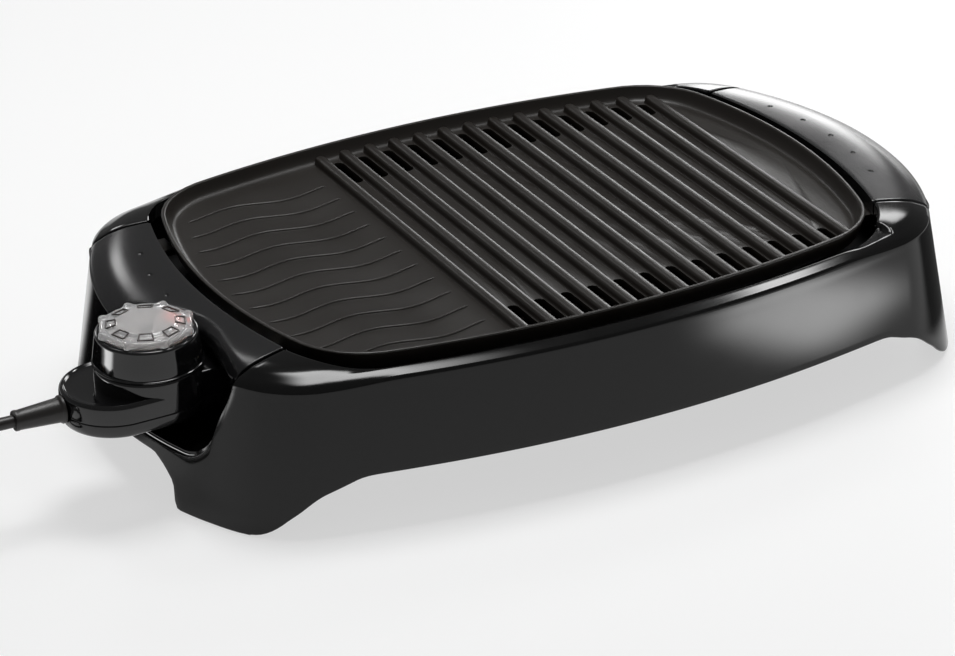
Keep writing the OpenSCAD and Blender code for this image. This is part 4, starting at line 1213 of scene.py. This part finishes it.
def make_flag(name, low, high, colour, fade):
    """A card lying beside the object, seen only in gloss, that dims the pale floor there."""
    flag = made(name, bpy.ops.mesh.primitive_plane_add, size=1)
    for v in flag.data.vertices:
        v.co = at(low[0] if v.co.x < 0 else high[0], low[1] if v.co.y < 0 else high[1], CARD_HEIGHT)
    middle = at((low[0] + high[0]) / 2, (low[1] + high[1]) / 2, 0)
    half = ((high[0] - low[0]) / 2 * MM, (high[1] - low[1]) / 2 * MM)
    card, tree, shader = new_material(name + "_felt", colour)
    shader.inputs["Specular IOR Level"].default_value = 0.0
    place_of = add(tree, "ShaderNodeTexCoord")
    solid = feathered(tree, (place_of, "Object"), middle[:2], half, (fade * MM, fade * MM))
    tree.links.new(solid.outputs[0], shader.inputs["Alpha"])
    flag.data.materials.append(card)
    flag.visible_camera = flag.visible_diffuse = flag.visible_shadow = flag.visible_transmission = False


def make_world():
    world = bpy.data.worlds.new("studio")
    bpy.context.scene.world = world
    world.use_nodes = True
    tree = world.node_tree
    tree.nodes["Background"].inputs["Color"].default_value = linear("#ffffff")
    tree.nodes["Background"].inputs["Strength"].default_value = SKY_GLOW


make_floor()
make_world()
# Where each light is and aims, its width and height in metres, its brightness and its fades
for light in (("top_softbox", (34, 210, 1600), (34, 210, 0), 0.98, 0.82, 15.0, 0.4, 0.25),
              ("top_right_softbox", (1120, 200, 1600), (1120, 200, 0), 0.29, 0.7, 20.0, 0.3, 0.3),
              ("back_right_softbox", (1787, 2261, 620), (262, 0, 110), 0.95, 0.8, 6.5, 0.35, 0.35),
              ("back_right_strip", (2010, 2400, 190), (240, 0, 110), 1.6, 0.34, 3.0, 0.3, 0.2),
              ("right_softbox", (1487, 1161, 1370), (233, -130, 109), 0.9, 0.6, 9.0, 0.35, 0.35),
              ("back_left_softbox", (-8, 2125, 1080), (-259, 82, 110), 0.4, 0.42, 6.0, 0.35, 0.35),
              ("high_left_softbox", (-91, 1575, 1834), (-265, -84, 108), 0.5, 0.45, 6.5, 0.4, 0.4),
              ("low_right_card", (352, -412, 2), (352, -412, 60), 0.3, 0.33, 8.8, 0.42, 0.35),
              ("low_left_card", (-700, 110, 2), (-700, 110, 60), 0.2, 0.3, 9.0, 0.3, 0.3)):
    make_light(*light)
for flag in (("left_flag", (-600, 10), (-262, 460), "#0c0c0c", 40),
             ("right_flag", (280, -205), (780, 380), "#505050", 60)):
    make_flag(*flag)

bpy.context.scene.view_settings.view_transform = "Standard"

# Finishes of the pieces that keep their own shape
for finish, *nodes in (
        (matt_pp, "tray_support"), (nitrile, "foot_pads"), (tray_steel, "drip_tray"),
        (steatite, "terminal_bushes"), (pale_disc, "light_ring"),
        (brass, "female_terminals", "bimetal_blade", "plug_blades", "plug_ground_pin"),
        (plated, "support_screws", "handle_screws", "clamp_screws", "control_screws", "element_clamps",
         "terminal_pins", "terminal_guard", "thermostat_frame", "probe_rod", "dial_shaft")):
    for node in nodes:
        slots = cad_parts[node].data.materials
        slots.clear()
        slots.append(finish)
